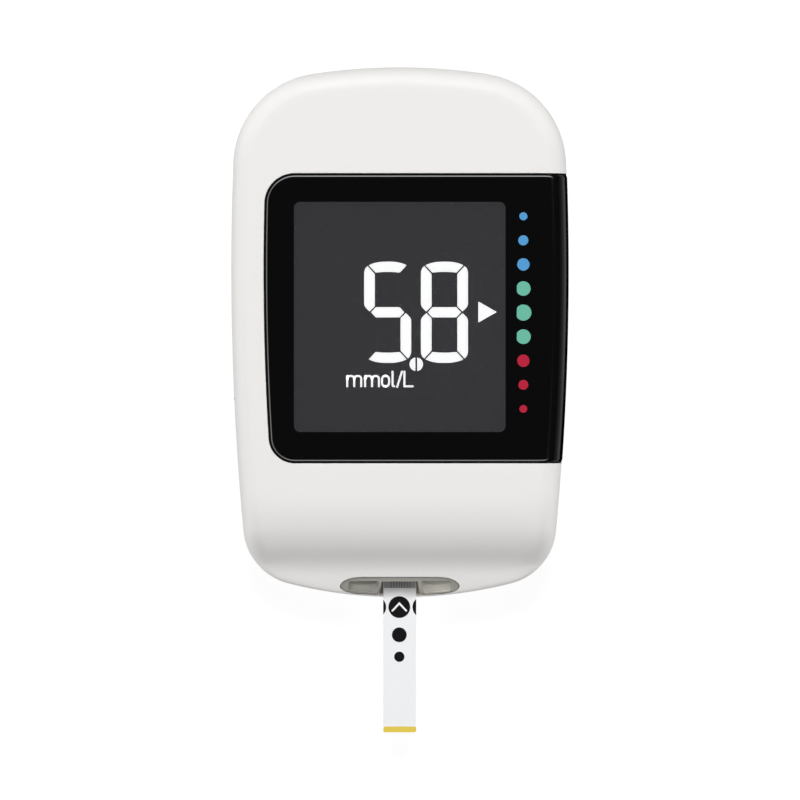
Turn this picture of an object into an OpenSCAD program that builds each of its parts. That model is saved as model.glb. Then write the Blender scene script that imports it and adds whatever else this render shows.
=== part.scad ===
// Blood glucose meter lying on its back, in millimetres.
// +Z points up through the display, the strip end faces -Y and the button side faces +X.
// The origin is on the flat back, at the middle of the body's length and width.

/* [Body outline] */
// Length of the body, without the strip
body_l = 77.1; // [72:0.1:84]
// Width of the body at its widest
body_w = 49.0; // [46:0.1:54]
// Height of the front face over the back, on the centre line
body_h = 15.15; // [14.6:0.05:18]
// Radius of the top end
top_r = 84; // [60:1:120]
// Radius of the two top corners
top_corner_r = 13.5; // [10:0.1:16]
// Radius of the two long sides
side_r = 411; // [250:1:800]
// Place along the length where the body is widest
side_y = 9; // [4:0.5:14]
// Radius of the two lower corners
bottom_corner_r = 8.7; // [7:0.1:12]
// Radius of the strip end
bottom_r = 66; // [50:1:100]

/* [Shells] */
// Height of the parting line between the covers
seam_z = 6.5; // [6.4:0.05:6.8]
// Thickness of the side walls
wall = 1.8; // [1.4:0.1:2.2]
// Thickness of the front face
face_wall = 1.6; // [1.2:0.1:1.8]
// Thickness of the back
floor_t = 1.2; // [1:0.1:1.4]
// Width of the front cover's rounded edge
edge_front = 3.2; // [2.4:0.1:4]
// Width of the rear cover's rounded edge
edge_back = 4; // [3:0.1:5]
// Fullness of the front cover's rounded edge, where 2 is an ellipse
edge_power = 2.8; // [2:0.1:3.4]
// Drop of the front face from the centre line to the sides
dome = 0.3; // [0.1:0.05:0.5]
// Distance from the strip end to where the face starts to roll down
slope_lead = 14.5; // [13:0.1:16]
// Length of the convex part of the slope
slope_convex = 8.5; // [7:0.1:9]
// Length of the concave part of the slope
slope_concave = 2.8; // [2.2:0.1:3.4]
// Steepest angle of the slope
slope_angle = 50; // [40:1:56]

/* [Display lens] */
// Upper edge of the lens pocket
lens_top = 23.05; // [22:0.05:24]
// Lower edge of the lens pocket
lens_bottom = -19; // [-20:0.05:-18.5]
// Distance of the lens pocket from the body's left side
lens_inset = 4.74; // [4:0.02:6]
// Corner radius at the top of the lens
lens_r_top = 4.4; // [3:0.1:6]
// Corner radius at the bottom of the lens
lens_r_bottom = 3.8; // [3:0.1:6]
// Height of the lens over the cover's face
lens_proud = 0.15; // [0.05:0.05:0.3]
// Depth of the lens under the cover's face
lens_t = 1.35; // [1:0.05:1.5]
// Thickness of the lens's side apron
apron_t = 2.1; // [1.9:0.05:2.3]
// Gap around the lens
lens_gap = 0.13; // [0.08:0.01:0.2]
// Thickness of the adhesive tape under the lens
tape_t = 0.2; // [0.1:0.05:0.3]
// Width of the display window
window_w = 30.7; // [28:0.1:31.5]
// Height of the display window
window_l = 33.4; // [30:0.1:34]
// Middle of the display window along the length
window_y = 2.2; // [1.5:0.1:3]
// Corner radius of the display window
window_r = 0.9; // [0.5:0.1:2]

/* [Display] */
// Thickness of each display glass
glass_t = 0.7; // [0.5:0.05:0.8]
// Thickness of each polariser
polariser_t = 0.2; // [0.1:0.05:0.25]
// Border of the glass around the window
glass_border = 1.65; // [1.4:0.05:1.8]
// Wall of the display holder
holder_wall = 0.8; // [0.6:0.1:1]
// Height of a digit
digit_h = 14.84; // [12:0.1:16]
// Width of a digit
digit_w = 6.87; // [6:0.1:7.5]
// Width of a digit's strokes
stroke = 1.55; // [1.2:0.05:1.8]
// Distance between neighbouring range dots
dot_pitch = 3.494; // [3.2:0.01:3.8]
// Diameter of the middle range dot
dot_d = 2.35; // [2:0.05:2.8]

/* [Board] */
// Height of the board's underside
board_z = 7; // [6.95:0.05:7.1]
// Thickness of the board
board_t = 0.8; // [0.6:0.1:0.9]

/* [Buttons] */
// Height of the buttons' middle
button_z = 9.7; // [9.4:0.1:10.2]
// Distance between neighbouring buttons
button_pitch = 9.5; // [8.5:0.1:11]
// Length of a button
button_l = 7.4; // [6:0.1:7.8]
// Height of a button
button_h = 3; // [2.4:0.1:3.2]
// Travel of a button
button_travel = 0.5; // [0.3:0.05:0.6]
// Gap around a button
button_gap = 0.1; // [0.08:0.01:0.15]
// Height of a button over the apron
button_proud = 0.2; // [0.1:0.05:0.3]

/* [Batteries] */
// Diameter of a coin cell
cell_d = 20; // [19:0.5:20]
// Thickness of a coin cell
cell_t = 3.2; // [2.5:0.1:3.2]
// Distance between the cells' middles
cell_pitch = 21.2; // [21:0.1:21.4]
// Middle of the cells along the length
cell_y = 17.4; // [17:0.1:18]
// Thickness of the battery door
door_t = 1.2; // [1:0.1:1.3]
// Gap around the battery door
door_gap = 0.1; // [0.08:0.01:0.2]
// Radius of the door's hinge pins
pin_r = 0.5; // [0.4:0.05:0.55]
// Running clearance of the hinge pins
pin_fit = 0.05; // [0.03:0.01:0.08]

/* [Strip] */
// Width of the test strip
strip_w = 4.8; // [4.6:0.1:5]
// Length of the test strip
strip_l = 31; // [29:0.5:34]
// Thickness of the test strip
strip_t = 0.3; // [0.25:0.01:0.32]
// Length of the strip outside the body
strip_out = 19.65; // [18:0.05:21]
// Gap beside and around the strip in its channel
strip_gap = 0.1; // [0.08:0.01:0.15]
// Travel of the ejector
eject_travel = 7.5; // [5:0.1:8]

/* [Fasteners] */
// Radius of a case screw's shank
screw_r = 0.95; // [0.8:0.05:1.1]
// Radius of a case screw's head
screw_head_r = 1.75; // [1.5:0.05:1.9]
// Outer radius of a screw boss
boss_r = 2.4; // [2.3:0.05:2.6]

/* [Hidden] */
$fn = 48;
HAIR = 0.02;               // seating clearance between pieces that touch
half_l = body_l / 2;
half_w = body_w / 2;

// ---- outline: tangent arcs of the right half, from the top end round to the strip end

function meet(a, ra, b, rb) =
    let (v = b - a, n = norm(v), t = (ra * ra - rb * rb + n * n) / (2 * n),
         h = sqrt(ra * ra - t * t), foot = a + v * t / n, side = [-v.y, v.x] * h / n)
    (foot + side).x > (foot - side).x ? foot + side : foot - side;
function heading(a, b) = atan2(b.y - a.y, b.x - a.x);

top_c = [0, half_l - top_r];
side_c = [half_w - side_r, side_y];
bottom_c = [0, bottom_r - half_l];
top_corner_c = meet(top_c, top_r - top_corner_r, side_c, side_r - top_corner_r);
bottom_corner_c = meet(bottom_c, bottom_r - bottom_corner_r, side_c, side_r - bottom_corner_r);
top_turn = heading(top_c, top_corner_c);
side_turn = heading(side_c, top_corner_c);
side_end = heading(side_c, bottom_corner_c);
bottom_turn = heading(bottom_c, bottom_corner_c);
// centre, radius, first angle, last angle, steps
ARCS = [[top_c, top_r, 90, top_turn, 3],
        [top_corner_c, top_corner_r, top_turn, side_turn, 8],
        [side_c, side_r, side_turn, side_end, 4],
        [bottom_corner_c, bottom_corner_r, side_end, bottom_turn, 7],
        [bottom_c, bottom_r, bottom_turn, -90, 4]];

function half_ring(d) = [
    for (a = ARCS) for (i = [0:a[4] - 1])
        let (t = a[2] + (a[3] - a[2]) * i / a[4]) a[0] + (a[1] - d) * [cos(t), sin(t)]];
// The outline, moved inwards by d, clockwise from the middle of the top end
function ring(d) =
    let (h = half_ring(d), n = len(h))
    concat(h, [[0, d - half_l]], [for (i = [n - 1:-1:1]) [-h[i].x, h[i].y]]);
// Half-width of the body's side at y, moved inwards by d
function side_x(y, d = 0) = side_c.x + sqrt(pow(side_r - d, 2) - pow(y - side_y, 2));

// ---- front face: level with a slight dome, rolling down in an S at the strip end

slope_y = slope_lead - half_l;
convex_r = slope_convex / sin(slope_angle);
concave_r = slope_concave / sin(slope_angle);
slope_drop = (convex_r + concave_r) * (1 - cos(slope_angle));
slope_end_y = slope_y - slope_convex - slope_concave;
lip_z = body_h - slope_drop;

function drop(y) =
    y >= slope_y ? 0
    : y >= slope_y - slope_convex ? convex_r - sqrt(pow(convex_r, 2) - pow(slope_y - y, 2))
    : y >= slope_end_y
        ? slope_drop - concave_r + sqrt(pow(concave_r, 2) - pow(y - slope_end_y, 2))
    : slope_drop;
function crown(p) = body_h - dome * pow(p.x / half_w, 2) - drop(p.y);

// Across and up along the rounded edge, from the parting line at 0 to the face at 90 degrees
function full(t) = [pow(cos(t), 2 / edge_power), pow(sin(t), 2 / edge_power)];

function edge_ring(d, rise, sunk) =
    [for (p = ring(d)) [p.x, p.y, seam_z + (crown(p) - sunk - seam_z) * rise]];
function face_ring(d, s, sunk) =
    [for (p = ring(d)) let (q = p * s) [q.x, q.y, crown(q) - sunk]];
function back_ring(d, z) = [for (p = ring(d)) [p.x, p.y, z]];

// A closed skin over a list of rings with a tip at each end
module skin(tip_a, rings, tip_b) {
    n = len(rings[0]);
    m = len(rings);
    last = n * m + 1;
    polyhedron(
        points = concat([tip_a], [for (r = rings) for (p = r) p], [tip_b]),
        faces = concat(
            [for (i = [0:n - 1]) [0, 1 + (i + 1) % n, 1 + i]],
            [for (k = [0:m - 2]) for (i = [0:n - 1])
                let (a = 1 + k * n, b = a + n, j = (i + 1) % n) [a + j, b + j, b + i, a + i]],
            [for (i = [0:n - 1])
                let (a = 1 + (m - 1) * n, j = (i + 1) % n) [a + j, last, a + i]]));
}

EDGE_STEPS = 6;
FACE_SCALES = [0.955, 0.91, 0.865, 0.82, 0.775, 0.73, 0.685, 0.4];
INNER_SCALES = [0.92, 0.86, 0.8, 0.74, 0.68, 0.4];
INNER_STEPS = 4;

module front_shell() {
    inner_edge = edge_front - face_wall / 2;
    outer = concat(
        [for (k = [0:EDGE_STEPS]) let (f = full(90 * k / EDGE_STEPS))
            edge_ring(edge_front * (1 - f.x), f.y, 0)],
        [for (s = FACE_SCALES) face_ring(edge_front, s, 0)]);
    inner = concat(
        [for (i = [len(INNER_SCALES) - 1:-1:0])
            face_ring(wall + inner_edge, INNER_SCALES[i], face_wall)],
        [for (k = [INNER_STEPS:-1:0]) let (f = full(90 * k / INNER_STEPS))
            edge_ring(wall + inner_edge * (1 - f.x), f.y, face_wall)]);
    skin([0, 0, crown([0, 0]) - face_wall], concat(inner, outer), [0, 0, crown([0, 0])]);
}

UNDERCUT = 0.25;           // the skin dips below the back, and the back is then cut flat
module rear_shell() {
    inner_edge = edge_back - 1;
    outer = [for (k = [EDGE_STEPS:-1:0]) let (t = 90 * k / EDGE_STEPS)
        back_ring(edge_back * (1 - cos(t)), seam_z - (seam_z + UNDERCUT) * sin(t))];
    inner = [for (k = [0:INNER_STEPS]) let (t = 90 * k / INNER_STEPS)
        back_ring(wall + inner_edge * (1 - cos(t)), seam_z - (seam_z - floor_t) * sin(t))];
    difference() {
        skin([0, 0, -UNDERCUT], concat(outer, inner), [0, 0, floor_t]);
        translate([-body_w, -body_l, -2]) cube([2 * body_w, 2 * body_l, 2]);
    }
}

// ---- shared shapes

// A box given by its lowest and highest corners
module block(low, high) { translate(low) cube(high - low); }

module rounded_box(x0, x1, y0, y1, z0, z1, r) {
    translate([0, 0, z0]) linear_extrude(z1 - z0) union() {
        translate([x0 + r, y0]) square([x1 - x0 - 2 * r, y1 - y0]);
        translate([x0, y0 + r]) square([x1 - x0, y1 - y0 - 2 * r]);
        for (x = [x0 + r, x1 - r], y = [y0 + r, y1 - r]) translate([x, y]) circle(r);
    }
}

function corner(c, r, from) =
    [for (i = [0:8]) c + r * [cos(from + i * 11.25), sin(from + i * 11.25)]];

// Outline of the lens pocket, moved inwards by d: parallel to the body's left side, open on the right
module lens_outline(d) {
    y1 = lens_top - d;
    y0 = lens_bottom + d;
    r1 = lens_r_top - d;
    r0 = lens_r_bottom - d;
    left = lens_inset + d;
    upper = [r1 - side_x(y1 - r1, left), y1 - r1];
    lower = [r0 - side_x(y0 + r0, left), y0 + r0];
    rim = [for (i = [1:5]) let (y = upper.y + (lower.y - upper.y) * i / 6) [-side_x(y, left), y]];
    polygon(concat([[half_w + 2, y1]], corner(upper, r1, 90), rim, corner(lower, r0, 180),
                   [[half_w + 2, y0]]));
}

module window_cut(grow, z0, z1) {
    rounded_box(-window_w / 2 - grow, window_w / 2 + grow,
                window_y - window_l / 2 - grow, window_y + window_l / 2 + grow,
                z0, z1, window_r + grow);
}

// ---- heights of the stack

lens_floor = body_h - lens_t;                  // underside of the lens
pocket_floor = lens_floor - tape_t;            // ledge that carries the tape
frame_t = 1.1;                                 // ledge thickness
frame_z = pocket_floor - frame_t;
lcd_top = frame_z - 0.1;
front_glass_z = lcd_top - polariser_t - glass_t;
cell_gap = 0.04;                               // liquid-crystal layer between the glasses
rear_glass_z = front_glass_z - cell_gap - glass_t;
rear_polariser_z = rear_glass_z - polariser_t;
holder_z = board_z + board_t + 0.1;
guide_z = holder_z + 0.5;
guide_t = rear_polariser_z - guide_z - 0.1;
glass_x = window_w / 2 + glass_border;
glass_y0 = window_y - window_l / 2 - glass_border - 0.15;
glass_y1 = window_y + window_l / 2 + glass_border - 0.05;
ledge_l = 2;                                   // front glass beyond the rear glass, for its contacts
holder_y0 = glass_y0 - holder_wall;
holder_y1 = glass_y1 + holder_wall;
holder_step = 0.6;                             // the holder is narrower beside the light guide

apron_z = seam_z + 0.4;                        // lower edge of the apron
skin_in = apron_t + lens_gap;                  // inset of the wall behind the apron
apron_wall = 1;                                // thickness of that wall
cavity_right = skin_in + apron_wall;           // inset of the inside there

// ---- the buttons' places

BUTTONS = [1, 0, -1];                          // upper, middle and lower
button_mid_y = (lens_top + lens_bottom) / 2;
function button_y(i) = button_mid_y + BUTTONS[i] * button_pitch;
switch_d = 2.6;                                // depth of a switch body
switch_h = 2.2;
switch_l = 6;
plunger_r = 0.7;
plunger_fit = 0.08;
flange_t = 0.5;
plunger_z = board_z + board_t + switch_h / 2;
flange_rim = 0.35;
flange_l = button_l / 2 + flange_rim;
function button_flange_x(i) =
    min(side_x(button_y(i) - flange_l), side_x(button_y(i) + flange_l))
    - cavity_right - 0.1 - flange_t;
function switch_x1(i) = button_flange_x(i) - button_travel - 0.15;
// Inset of the lens's surface at height z, on its roll from the parting line up to the face
lens_rise = body_h - dome + lens_proud - seam_z;
function surface_inset(z) =
    (edge_front + lens_proud)
    * (1 - pow(1 - pow((z - seam_z) / lens_rise, edge_power), 1 / edge_power)) - lens_proud;
function button_face_x(i) = side_x(button_y(i), surface_inset(button_z)) + button_proud;

// A pill across the side wall, from x0 to x1, grown by g
module pill(y, x0, x1, g) {
    r = button_h / 2 + g;
    s = button_l / 2 - button_h / 2;
    translate([x0, y, button_z]) rotate([90, 0, 90]) linear_extrude(x1 - x0) union() {
        square([2 * s, 2 * r], center = true);
        for (x = [-s, s]) translate([x, 0]) circle(r);
    }
}

// ---- battery bay

cell_z = door_t + 0.25;                        // underside of the cells
bay_top = cell_z + cell_t + 0.35;
bay_roof = 1;
cell_r = cell_d / 2;
bay_x = cell_pitch / 2 + cell_r + 0.25;
bay_y0 = cell_y - cell_r - 0.75;
hinge_z = 0.85;
bead_r = hinge_z - 0.05;
hinge_y = cell_y + cell_r + bead_r + 0.15;
bay_y1 = hinge_y + bead_r + door_gap;
hinge_x = 18;                                  // outer end of the door's bead
pin_l = 1.2;
contact_w = 3;                                 // width of a battery contact
contact_t = 0.2;
contact_leg_y = 5.8;                           // place of the negative contacts' legs past the cells' middle
door_x = bay_x - door_gap;
door_y0 = bay_y0 + door_gap;
door_y1 = hinge_y - norm([bead_r + door_gap, hinge_z]) - 0.06;   // clears the hinge blocks as it turns
bay_wall = 1.2;

// ---- strip port

strip_end = -half_l - strip_out;               // outer end of the strip
strip_z = board_z - 0.95;
channel_w = strip_w / 2 + strip_gap;
channel_z0 = strip_z - strip_gap;
channel_z1 = strip_z + strip_t + strip_gap;
lip_y = -half_l + 2.3;                         // upper lip of the slot
port_y = -half_l + 1.6;                        // middle of the oval insert
port_ry = 1.38;
port_rx = 3.3;                                 // length of the oval's pointed ends
port_x = 5.4;                                  // half-length of its straight part
port_z = 3.9;                                  // underside of the port
port_corner = 2.4;
port_depth = 2.6;                              // how far the insert reaches into the body
scoop_x = 5.7;                                 // scooped recesses beside the channel
scoop_r = 2.7;
connector_l = 14.6;
connector_y0 = lip_y + 1.6;
connector_y1 = connector_y0 + connector_l;
connector_x = 8;
connector_z = 4.8;
contact_count = 8;
contact_pitch = 0.5;

// The oval of the insert seen from above, moved inwards by d, open towards the strip end
module port_outline(d) {
    a = port_rx - d;
    b = port_ry - d;
    right = [for (i = [0:8]) let (t = 90 - i * 11.25) [port_x + a * cos(t), port_y + b * sin(t)]];
    polygon(concat([for (i = [8:-1:0]) [-right[i].x, right[i].y]], right,
                   [[port_x + 0.9 * a, -half_l - 3], [-port_x - 0.9 * a, -half_l - 3]]));
}

// The oval prism of the port, rounded below, reaching in to y
module port_space(d, y) {
    x = port_x + port_rx - d;
    intersection() {
        union() {
            translate([0, 0, port_z + d]) linear_extrude(12) port_outline(d);
            block([-channel_w - 3, port_y, port_z + d], [channel_w + 3, y, lip_z - 1.8 - d]);
        }
        translate([0, y, 0]) rotate([90, 0, 0]) linear_extrude(12) union() {
            translate([-x, port_z + port_corner]) square([2 * x, 12]);
            translate([port_corner - x, port_z + d]) square([2 * (x - port_corner), 12]);
            for (s = [-1, 1])
                translate([s * (x - port_corner), port_z + port_corner]) circle(port_corner - d);
        }
    }
}

// ---- fasteners and bosses

TOP_SCREW = [13, half_l - 5.9];
LOW_SCREW = [15.6, 9.5 - half_l];
CASE_SCREWS = [[-TOP_SCREW.x, TOP_SCREW.y], TOP_SCREW, [-LOW_SCREW.x, LOW_SCREW.y], LOW_SCREW];
board_screw_r = 0.6;
board_head_r = 1.1;
board_boss_r = 1.45;
board_left = wall + 0.6 - half_w;              // left edge of the board
left_board_screw = [board_left + 2.5, -4];
right_board_screw = [side_x(4.8 + lens_bottom) - cavity_right - board_head_r - 0.11, 4.8 + lens_bottom];
BOARD_SCREWS = [left_board_screw, right_board_screw];
head_t = 1.1;
head_z = 1.4;                                  // a case screw's head starts this far in
screw_top = seam_z + 3.4;
board_head_t = 0.8;

module at_each(places) { for (p = places) translate([p.x, p.y, 0]) children(); }

// ---- ejector

eject_z0 = 2.3;                                // guide window in the left wall
eject_z1 = 5.2;
pad_l = 8;
pad_y1 = -2.6;                                 // inner end of the thumb pad at rest
pad_z0 = eject_z0 + 0.15;
pad_z1 = eject_z1 - 0.15;
pad_x = side_x(pad_y1 - pad_l / 2) - 0.35;
pad_end = pad_y1 - pad_l - eject_travel;       // strip-side end of the window
// Inset of the rear cover's inner face at height z
function back_inset(z) =
    wall + (edge_back - 1) * (1 - sqrt(1 - pow((seam_z - z) / (seam_z - floor_t), 2)));
rail_x = side_x(pad_end - 0.6, back_inset(pad_z0)) - 0.2;      // outer face of the rail
rail_t = 0.9;
bar_y0 = -11.6;
bar_y1 = -8.8;
tongue_w = 3.4;
tongue_t = 0.36;
strip_inner = strip_end + strip_l;             // inner end of the strip

// ---- modules, one for each piece

module front_cover() {
    color("ivory") difference() {
        union() {
            front_shell();
            // ledge around the window
            translate([0, 0, frame_z]) linear_extrude(frame_t + 0.5) intersection() {
                lens_outline(-1.2);
                polygon(ring(cavity_right));
            }
            // wall behind the apron
            translate([0, 0, seam_z]) linear_extrude(pocket_floor - seam_z - 0.3)
                intersection() {
                    difference() {
                        polygon(ring(skin_in - 0.4));
                        polygon(ring(cavity_right));
                    }
                    translate([5, lens_bottom - 1.6])
                        square([half_w, lens_top - lens_bottom + 3.2]);
                }
            // screw bosses
            at_each(CASE_SCREWS) translate([0, 0, seam_z])
                cylinder(r = boss_r, h = lip_z - seam_z + 1.6);
            at_each(BOARD_SCREWS) translate([0, 0, board_z + board_t])
                cylinder(r = board_boss_r, h = frame_z - board_z - board_t + 0.3);
        }
        // lens pocket and the recess for the apron
        translate([0, 0, pocket_floor]) linear_extrude(4) lens_outline(0);
        translate([0, 0, apron_z - lens_gap]) linear_extrude(10) difference() {
            intersection() {
                lens_outline(0);
                translate([5, lens_bottom - 5]) square([half_w, lens_top - lens_bottom + 10]);
            }
            polygon(ring(skin_in));
        }
        window_cut(0.5, frame_z - 1, pocket_floor + 1);
        // button openings in the wall behind the apron
        for (i = [0:2]) pill(button_y(i), half_w - 7, half_w + 1, button_gap);
        // strip port
        port_space(0, port_y + port_ry + port_depth);
        block([-connector_x - 0.2, lip_y + 0.5, seam_z - 1],
              [connector_x + 0.2, connector_y1, board_z + 0.4]);
        usb_space(0.15);
        at_each(CASE_SCREWS) cylinder(r = screw_r + HAIR, h = screw_top + 0.4);
        at_each(BOARD_SCREWS) translate([0, 0, board_z])
            cylinder(r = board_screw_r + HAIR, h = 3.4);
    }
}

module rear_cover() {
    color("ivory") difference() {
        union() {
            rear_shell();
            // walls and roof of the battery bay
            translate([0, 0, 0.5]) linear_extrude(bay_top + bay_roof - 0.5) intersection() {
                polygon(ring(2.7));
                translate([-half_w, bay_y0 - bay_wall])
                    square([body_w, bay_y1 - bay_y0 + 2 * bay_wall]);
            }
            at_each(CASE_SCREWS) translate([0, 0, 0.5]) cylinder(r = boss_r, h = seam_z - 0.5);
            // posts that carry the board
            for (x = [-15, 15]) block([x - 1, bay_y0 + 2, bay_top], [x + 1, bay_y0 + 4, board_z]);
            // guide rail of the ejector
            block([-rail_x + rail_t + 0.1, pad_end - 1, floor_t - 0.2],
                  [-rail_x + rail_t + 1.1, pad_y1 + 1, eject_z1]);
        }
        // opening for the cells, with room for the hinge blocks at its far corners
        rounded_box(-bay_x, bay_x, bay_y0, hinge_y - bead_r - door_gap, -1, bay_top, 1.5);
        block([-hinge_x - door_gap, bay_y0 + 3, -1], [hinge_x + door_gap, bay_y1, bay_top]);
        translate([-hinge_x - pin_l - 0.2, hinge_y, hinge_z]) rotate([0, 90, 0])
            cylinder(r = pin_r + pin_fit, h = 2 * (hinge_x + pin_l + 0.2));
        // slots for the contacts' legs
        for (s = [-1, 1]) {
            x0 = s * cell_pitch / 2 - contact_w / 2 - 0.2;
            x1 = x0 + contact_w + 0.4;
            block([x0, cell_y + contact_leg_y - contact_t - 0.3, bay_top - 0.5],
                  [x1, cell_y + contact_leg_y + 0.3, bay_top + 2]);
            block([x0, bay_y0 - contact_t - 0.2, cell_z], [x1, bay_y0 + 0.3, bay_top + 2]);
        }
        // catch for the door's tongue
        block([-3.2, bay_y0 - 0.35, floor_t], [3.2, bay_y0 + 0.1, floor_t + 1.4]);
        // screws
        at_each(CASE_SCREWS) {
            translate([0, 0, -1]) cylinder(r = screw_r + 0.15, h = seam_z + 2);
            translate([0, 0, -1]) cylinder(r = screw_head_r + 0.15, h = head_z + head_t + 1);
        }
        // ejector's window in the left wall
        block([-half_w - 1, pad_end - 0.3, eject_z0],
              [-rail_x - 0.1, pad_y1 + 0.3, eject_z1]);
        port_space(0, port_y + port_ry + port_depth);
        block([-connector_x - 0.2, lip_y + 0.5, connector_z - 0.2],
              [connector_x + 0.2, connector_y0 + 3, seam_z + 1]);
        usb_space(0.15);
    }
}

module lens_body() {
    function lens_x(t) = half_w + lens_proud - (edge_front + lens_proud) * (1 - full(t).x);
    function lens_z(x, rise) =
        seam_z + (body_h - dome * pow(x / half_w, 2) + lens_proud - seam_z) * rise;
    start = asin(pow((apron_z - seam_z) / lens_rise, edge_power / 2));
    roll = [for (i = [0:16]) let (t = start + (90 - start) * i / 16, x = lens_x(t))
        [x, lens_z(x, full(t).y)]];
    face = [for (i = [1:8]) let (x = (half_w - edge_front) * (1 - i / 4)) [x, lens_z(x, 1)]];
    far = half_w - edge_front;
    profile = concat([[-far, apron_z - 1], [half_w + lens_proud, apron_z - 1]], roll, face);
    difference() {
        intersection() {
            translate([side_c.x, side_c.y, 0]) rotate([0, 0, -6])
                rotate_extrude(angle = 10, $fn = 720)
                polygon([for (p = profile) [p.x + side_r - half_w, p.y]]);
            translate([0, 0, apron_z]) linear_extrude(12) lens_outline(lens_gap);
        }
        // everything behind the slab and the apron
        translate([0, 0, apron_z - 1]) linear_extrude(lens_floor - apron_z + 1)
            polygon(ring(apron_t));
    }
}

module lens_frame() {
    color([0.03, 0.03, 0.03]) difference() {
        lens_body();
        window_cut(0, lens_floor - 1, body_h + 2);
        for (i = [0:2]) pill(button_y(i), half_w - 7, half_w + 1, button_gap);
    }
}

module window_pane() {
    color([0.3, 0.3, 0.32, 0.5]) intersection() {
        lens_body();
        window_cut(0, lens_floor - 1, body_h + 2);
    }
}

module lens_tape() {
    color("dimgray") translate([0, 0, pocket_floor]) linear_extrude(tape_t) difference() {
        intersection() {
            lens_outline(lens_gap + 0.3);
            polygon(ring(skin_in + 0.4));
        }
        translate([0, window_y]) square([window_w + 2, window_l + 2], center = true);
    }
}

DOT_COLOURS = ["steelblue", "mediumaquamarine", "crimson"];
dot_x = half_w - 6.57;
dot_y = 2.83;
module range_dots() {
    for (i = [-4:4])
        color(DOT_COLOURS[floor((i + 4) / 3)])
        translate([dot_x, dot_y - i * dot_pitch,
                   body_h + lens_proud - dome * pow(dot_x / half_w, 2) - 0.06])
            cylinder(d = dot_d - 0.23 * pow(abs(i), 1.2), h = 0.08);
}

module glass(y0, z, t) { block([-glass_x, y0, z], [glass_x, glass_y1, z + t]); }

module front_polariser() {
    color("darkslategray") block([-glass_x + 0.6, glass_y0 + 0.8, lcd_top - polariser_t],
                                 [glass_x - 0.6, glass_y1 - 0.6, lcd_top - HAIR / 2]);
}
module lcd_front_glass() { color("lightcyan") glass(glass_y0, front_glass_z, glass_t - HAIR); }
module lcd_rear_glass() {
    color("lightcyan") glass(glass_y0 + ledge_l, rear_glass_z, glass_t - HAIR);
}
module rear_polariser() {
    color("darkslategray") block([-glass_x + 0.6, glass_y0 + ledge_l + 0.6, rear_polariser_z],
                                 [glass_x - 0.6, glass_y1 - 0.6, rear_glass_z - HAIR]);
}

// One bar of a digit: a stroke with a pointed end each way
module bar(l) {
    r = stroke / 2;
    polygon([[-l / 2, 0], [r - l / 2, r], [l / 2 - r, r], [l / 2, 0], [l / 2 - r, -r],
             [r - l / 2, -r]]);
}
// Segments in the order top, upper right, lower right, bottom, lower left, upper left, middle
module digit(on) {
    w = digit_w / 2 - stroke / 2;
    h = digit_h / 2 - stroke / 2;
    play = 0.14;
    PLACES = [[0, h, 0], [w, h / 2, 90], [w, -h / 2, 90], [0, -h, 0], [-w, -h / 2, 90],
              [-w, h / 2, 90], [0, 0, 0]];
    for (i = [0:6])
        if (on[i] == 1)
            translate([PLACES[i].x, PLACES[i].y]) rotate(PLACES[i].z)
                bar((PLACES[i].z == 0 ? 2 * w : h) - play);
}
FIVE = [1, 0, 1, 1, 0, 1, 1];
EIGHT = [1, 1, 1, 1, 1, 1, 1];
digit_y = 2.86;
pointer_x = 11.43;
module lcd_segments() {
    color("white") translate([0, 0, front_glass_z - cell_gap + 0.005])
        linear_extrude(cell_gap - 0.01) {
            translate([-1.75, digit_y]) digit(FIVE);
            translate([6.53, digit_y]) digit(EIGHT);
            translate([2.38, digit_y - digit_h / 2 - 0.15]) circle(r = 0.95);
            translate([pointer_x, dot_y + 0.05]) polygon([[0, 1.5], [2.6, 0], [0, -1.5]]);
        }
}

module lcd_holder() {
    color("whitesmoke") difference() {
        union() {
            block([holder_step - glass_x, holder_y0, holder_z],
                  [glass_x - holder_step, holder_y1, rear_polariser_z]);
            block([-glass_x - holder_wall, holder_y0, rear_polariser_z - 0.4],
                  [glass_x + holder_wall, holder_y1, lcd_top]);
        }
        block([-glass_x - 0.1, glass_y0 - 0.1, rear_polariser_z - HAIR],
              [glass_x + 0.1, glass_y1 + 0.1, lcd_top + 1]);
        block([-glass_x + 1.2, glass_y0 + 0.1, guide_z],
              [glass_x - 1.2, glass_y1 - 0.2, rear_polariser_z + 1]);
        block([-glass_x + 1.6, glass_y0 + 0.1, holder_z - 1],
              [glass_x - 1.6, glass_y0 + ledge_l - 0.1, guide_z + 1]);
        // the sides stay clear of the switches
        for (i = [0:2])
            block([switch_x1(i) - switch_d - 0.2, button_y(i) - switch_l / 2 - 0.3, holder_z - 1],
                  [half_w, button_y(i) + switch_l / 2 + 0.3, board_z + board_t + switch_h + 0.1]);
    }
}

led_w = 2.6;
led_l = 1.2;
led_t = min(1.08, guide_t);
led_pitch = 9;
guide_right = min(concat([glass_x - 1.3], [for (i = [0:2]) switch_x1(i) - switch_d - 0.3]));
module light_guide() {
    color("white") block([-glass_x + 1.3, glass_y0 + ledge_l + 0.3, guide_z + HAIR],
                         [guide_right, glass_y1 - 1.8, guide_z + guide_t]);
}
module backlight_leds() {
    color("lemonchiffon") for (i = [-1:1])
        block([i * led_pitch - led_w / 2, glass_y1 - 0.5 - led_l, guide_z + HAIR],
              [i * led_pitch + led_w / 2, glass_y1 - 0.5, guide_z + HAIR + led_t]);
}
module zebra_strip() {
    color("dimgray") block([-glass_x + 2, glass_y0 + 0.25, board_z + board_t + HAIR],
                           [glass_x - 2, glass_y0 + ledge_l - 0.25, front_glass_z - HAIR]);
}

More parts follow.
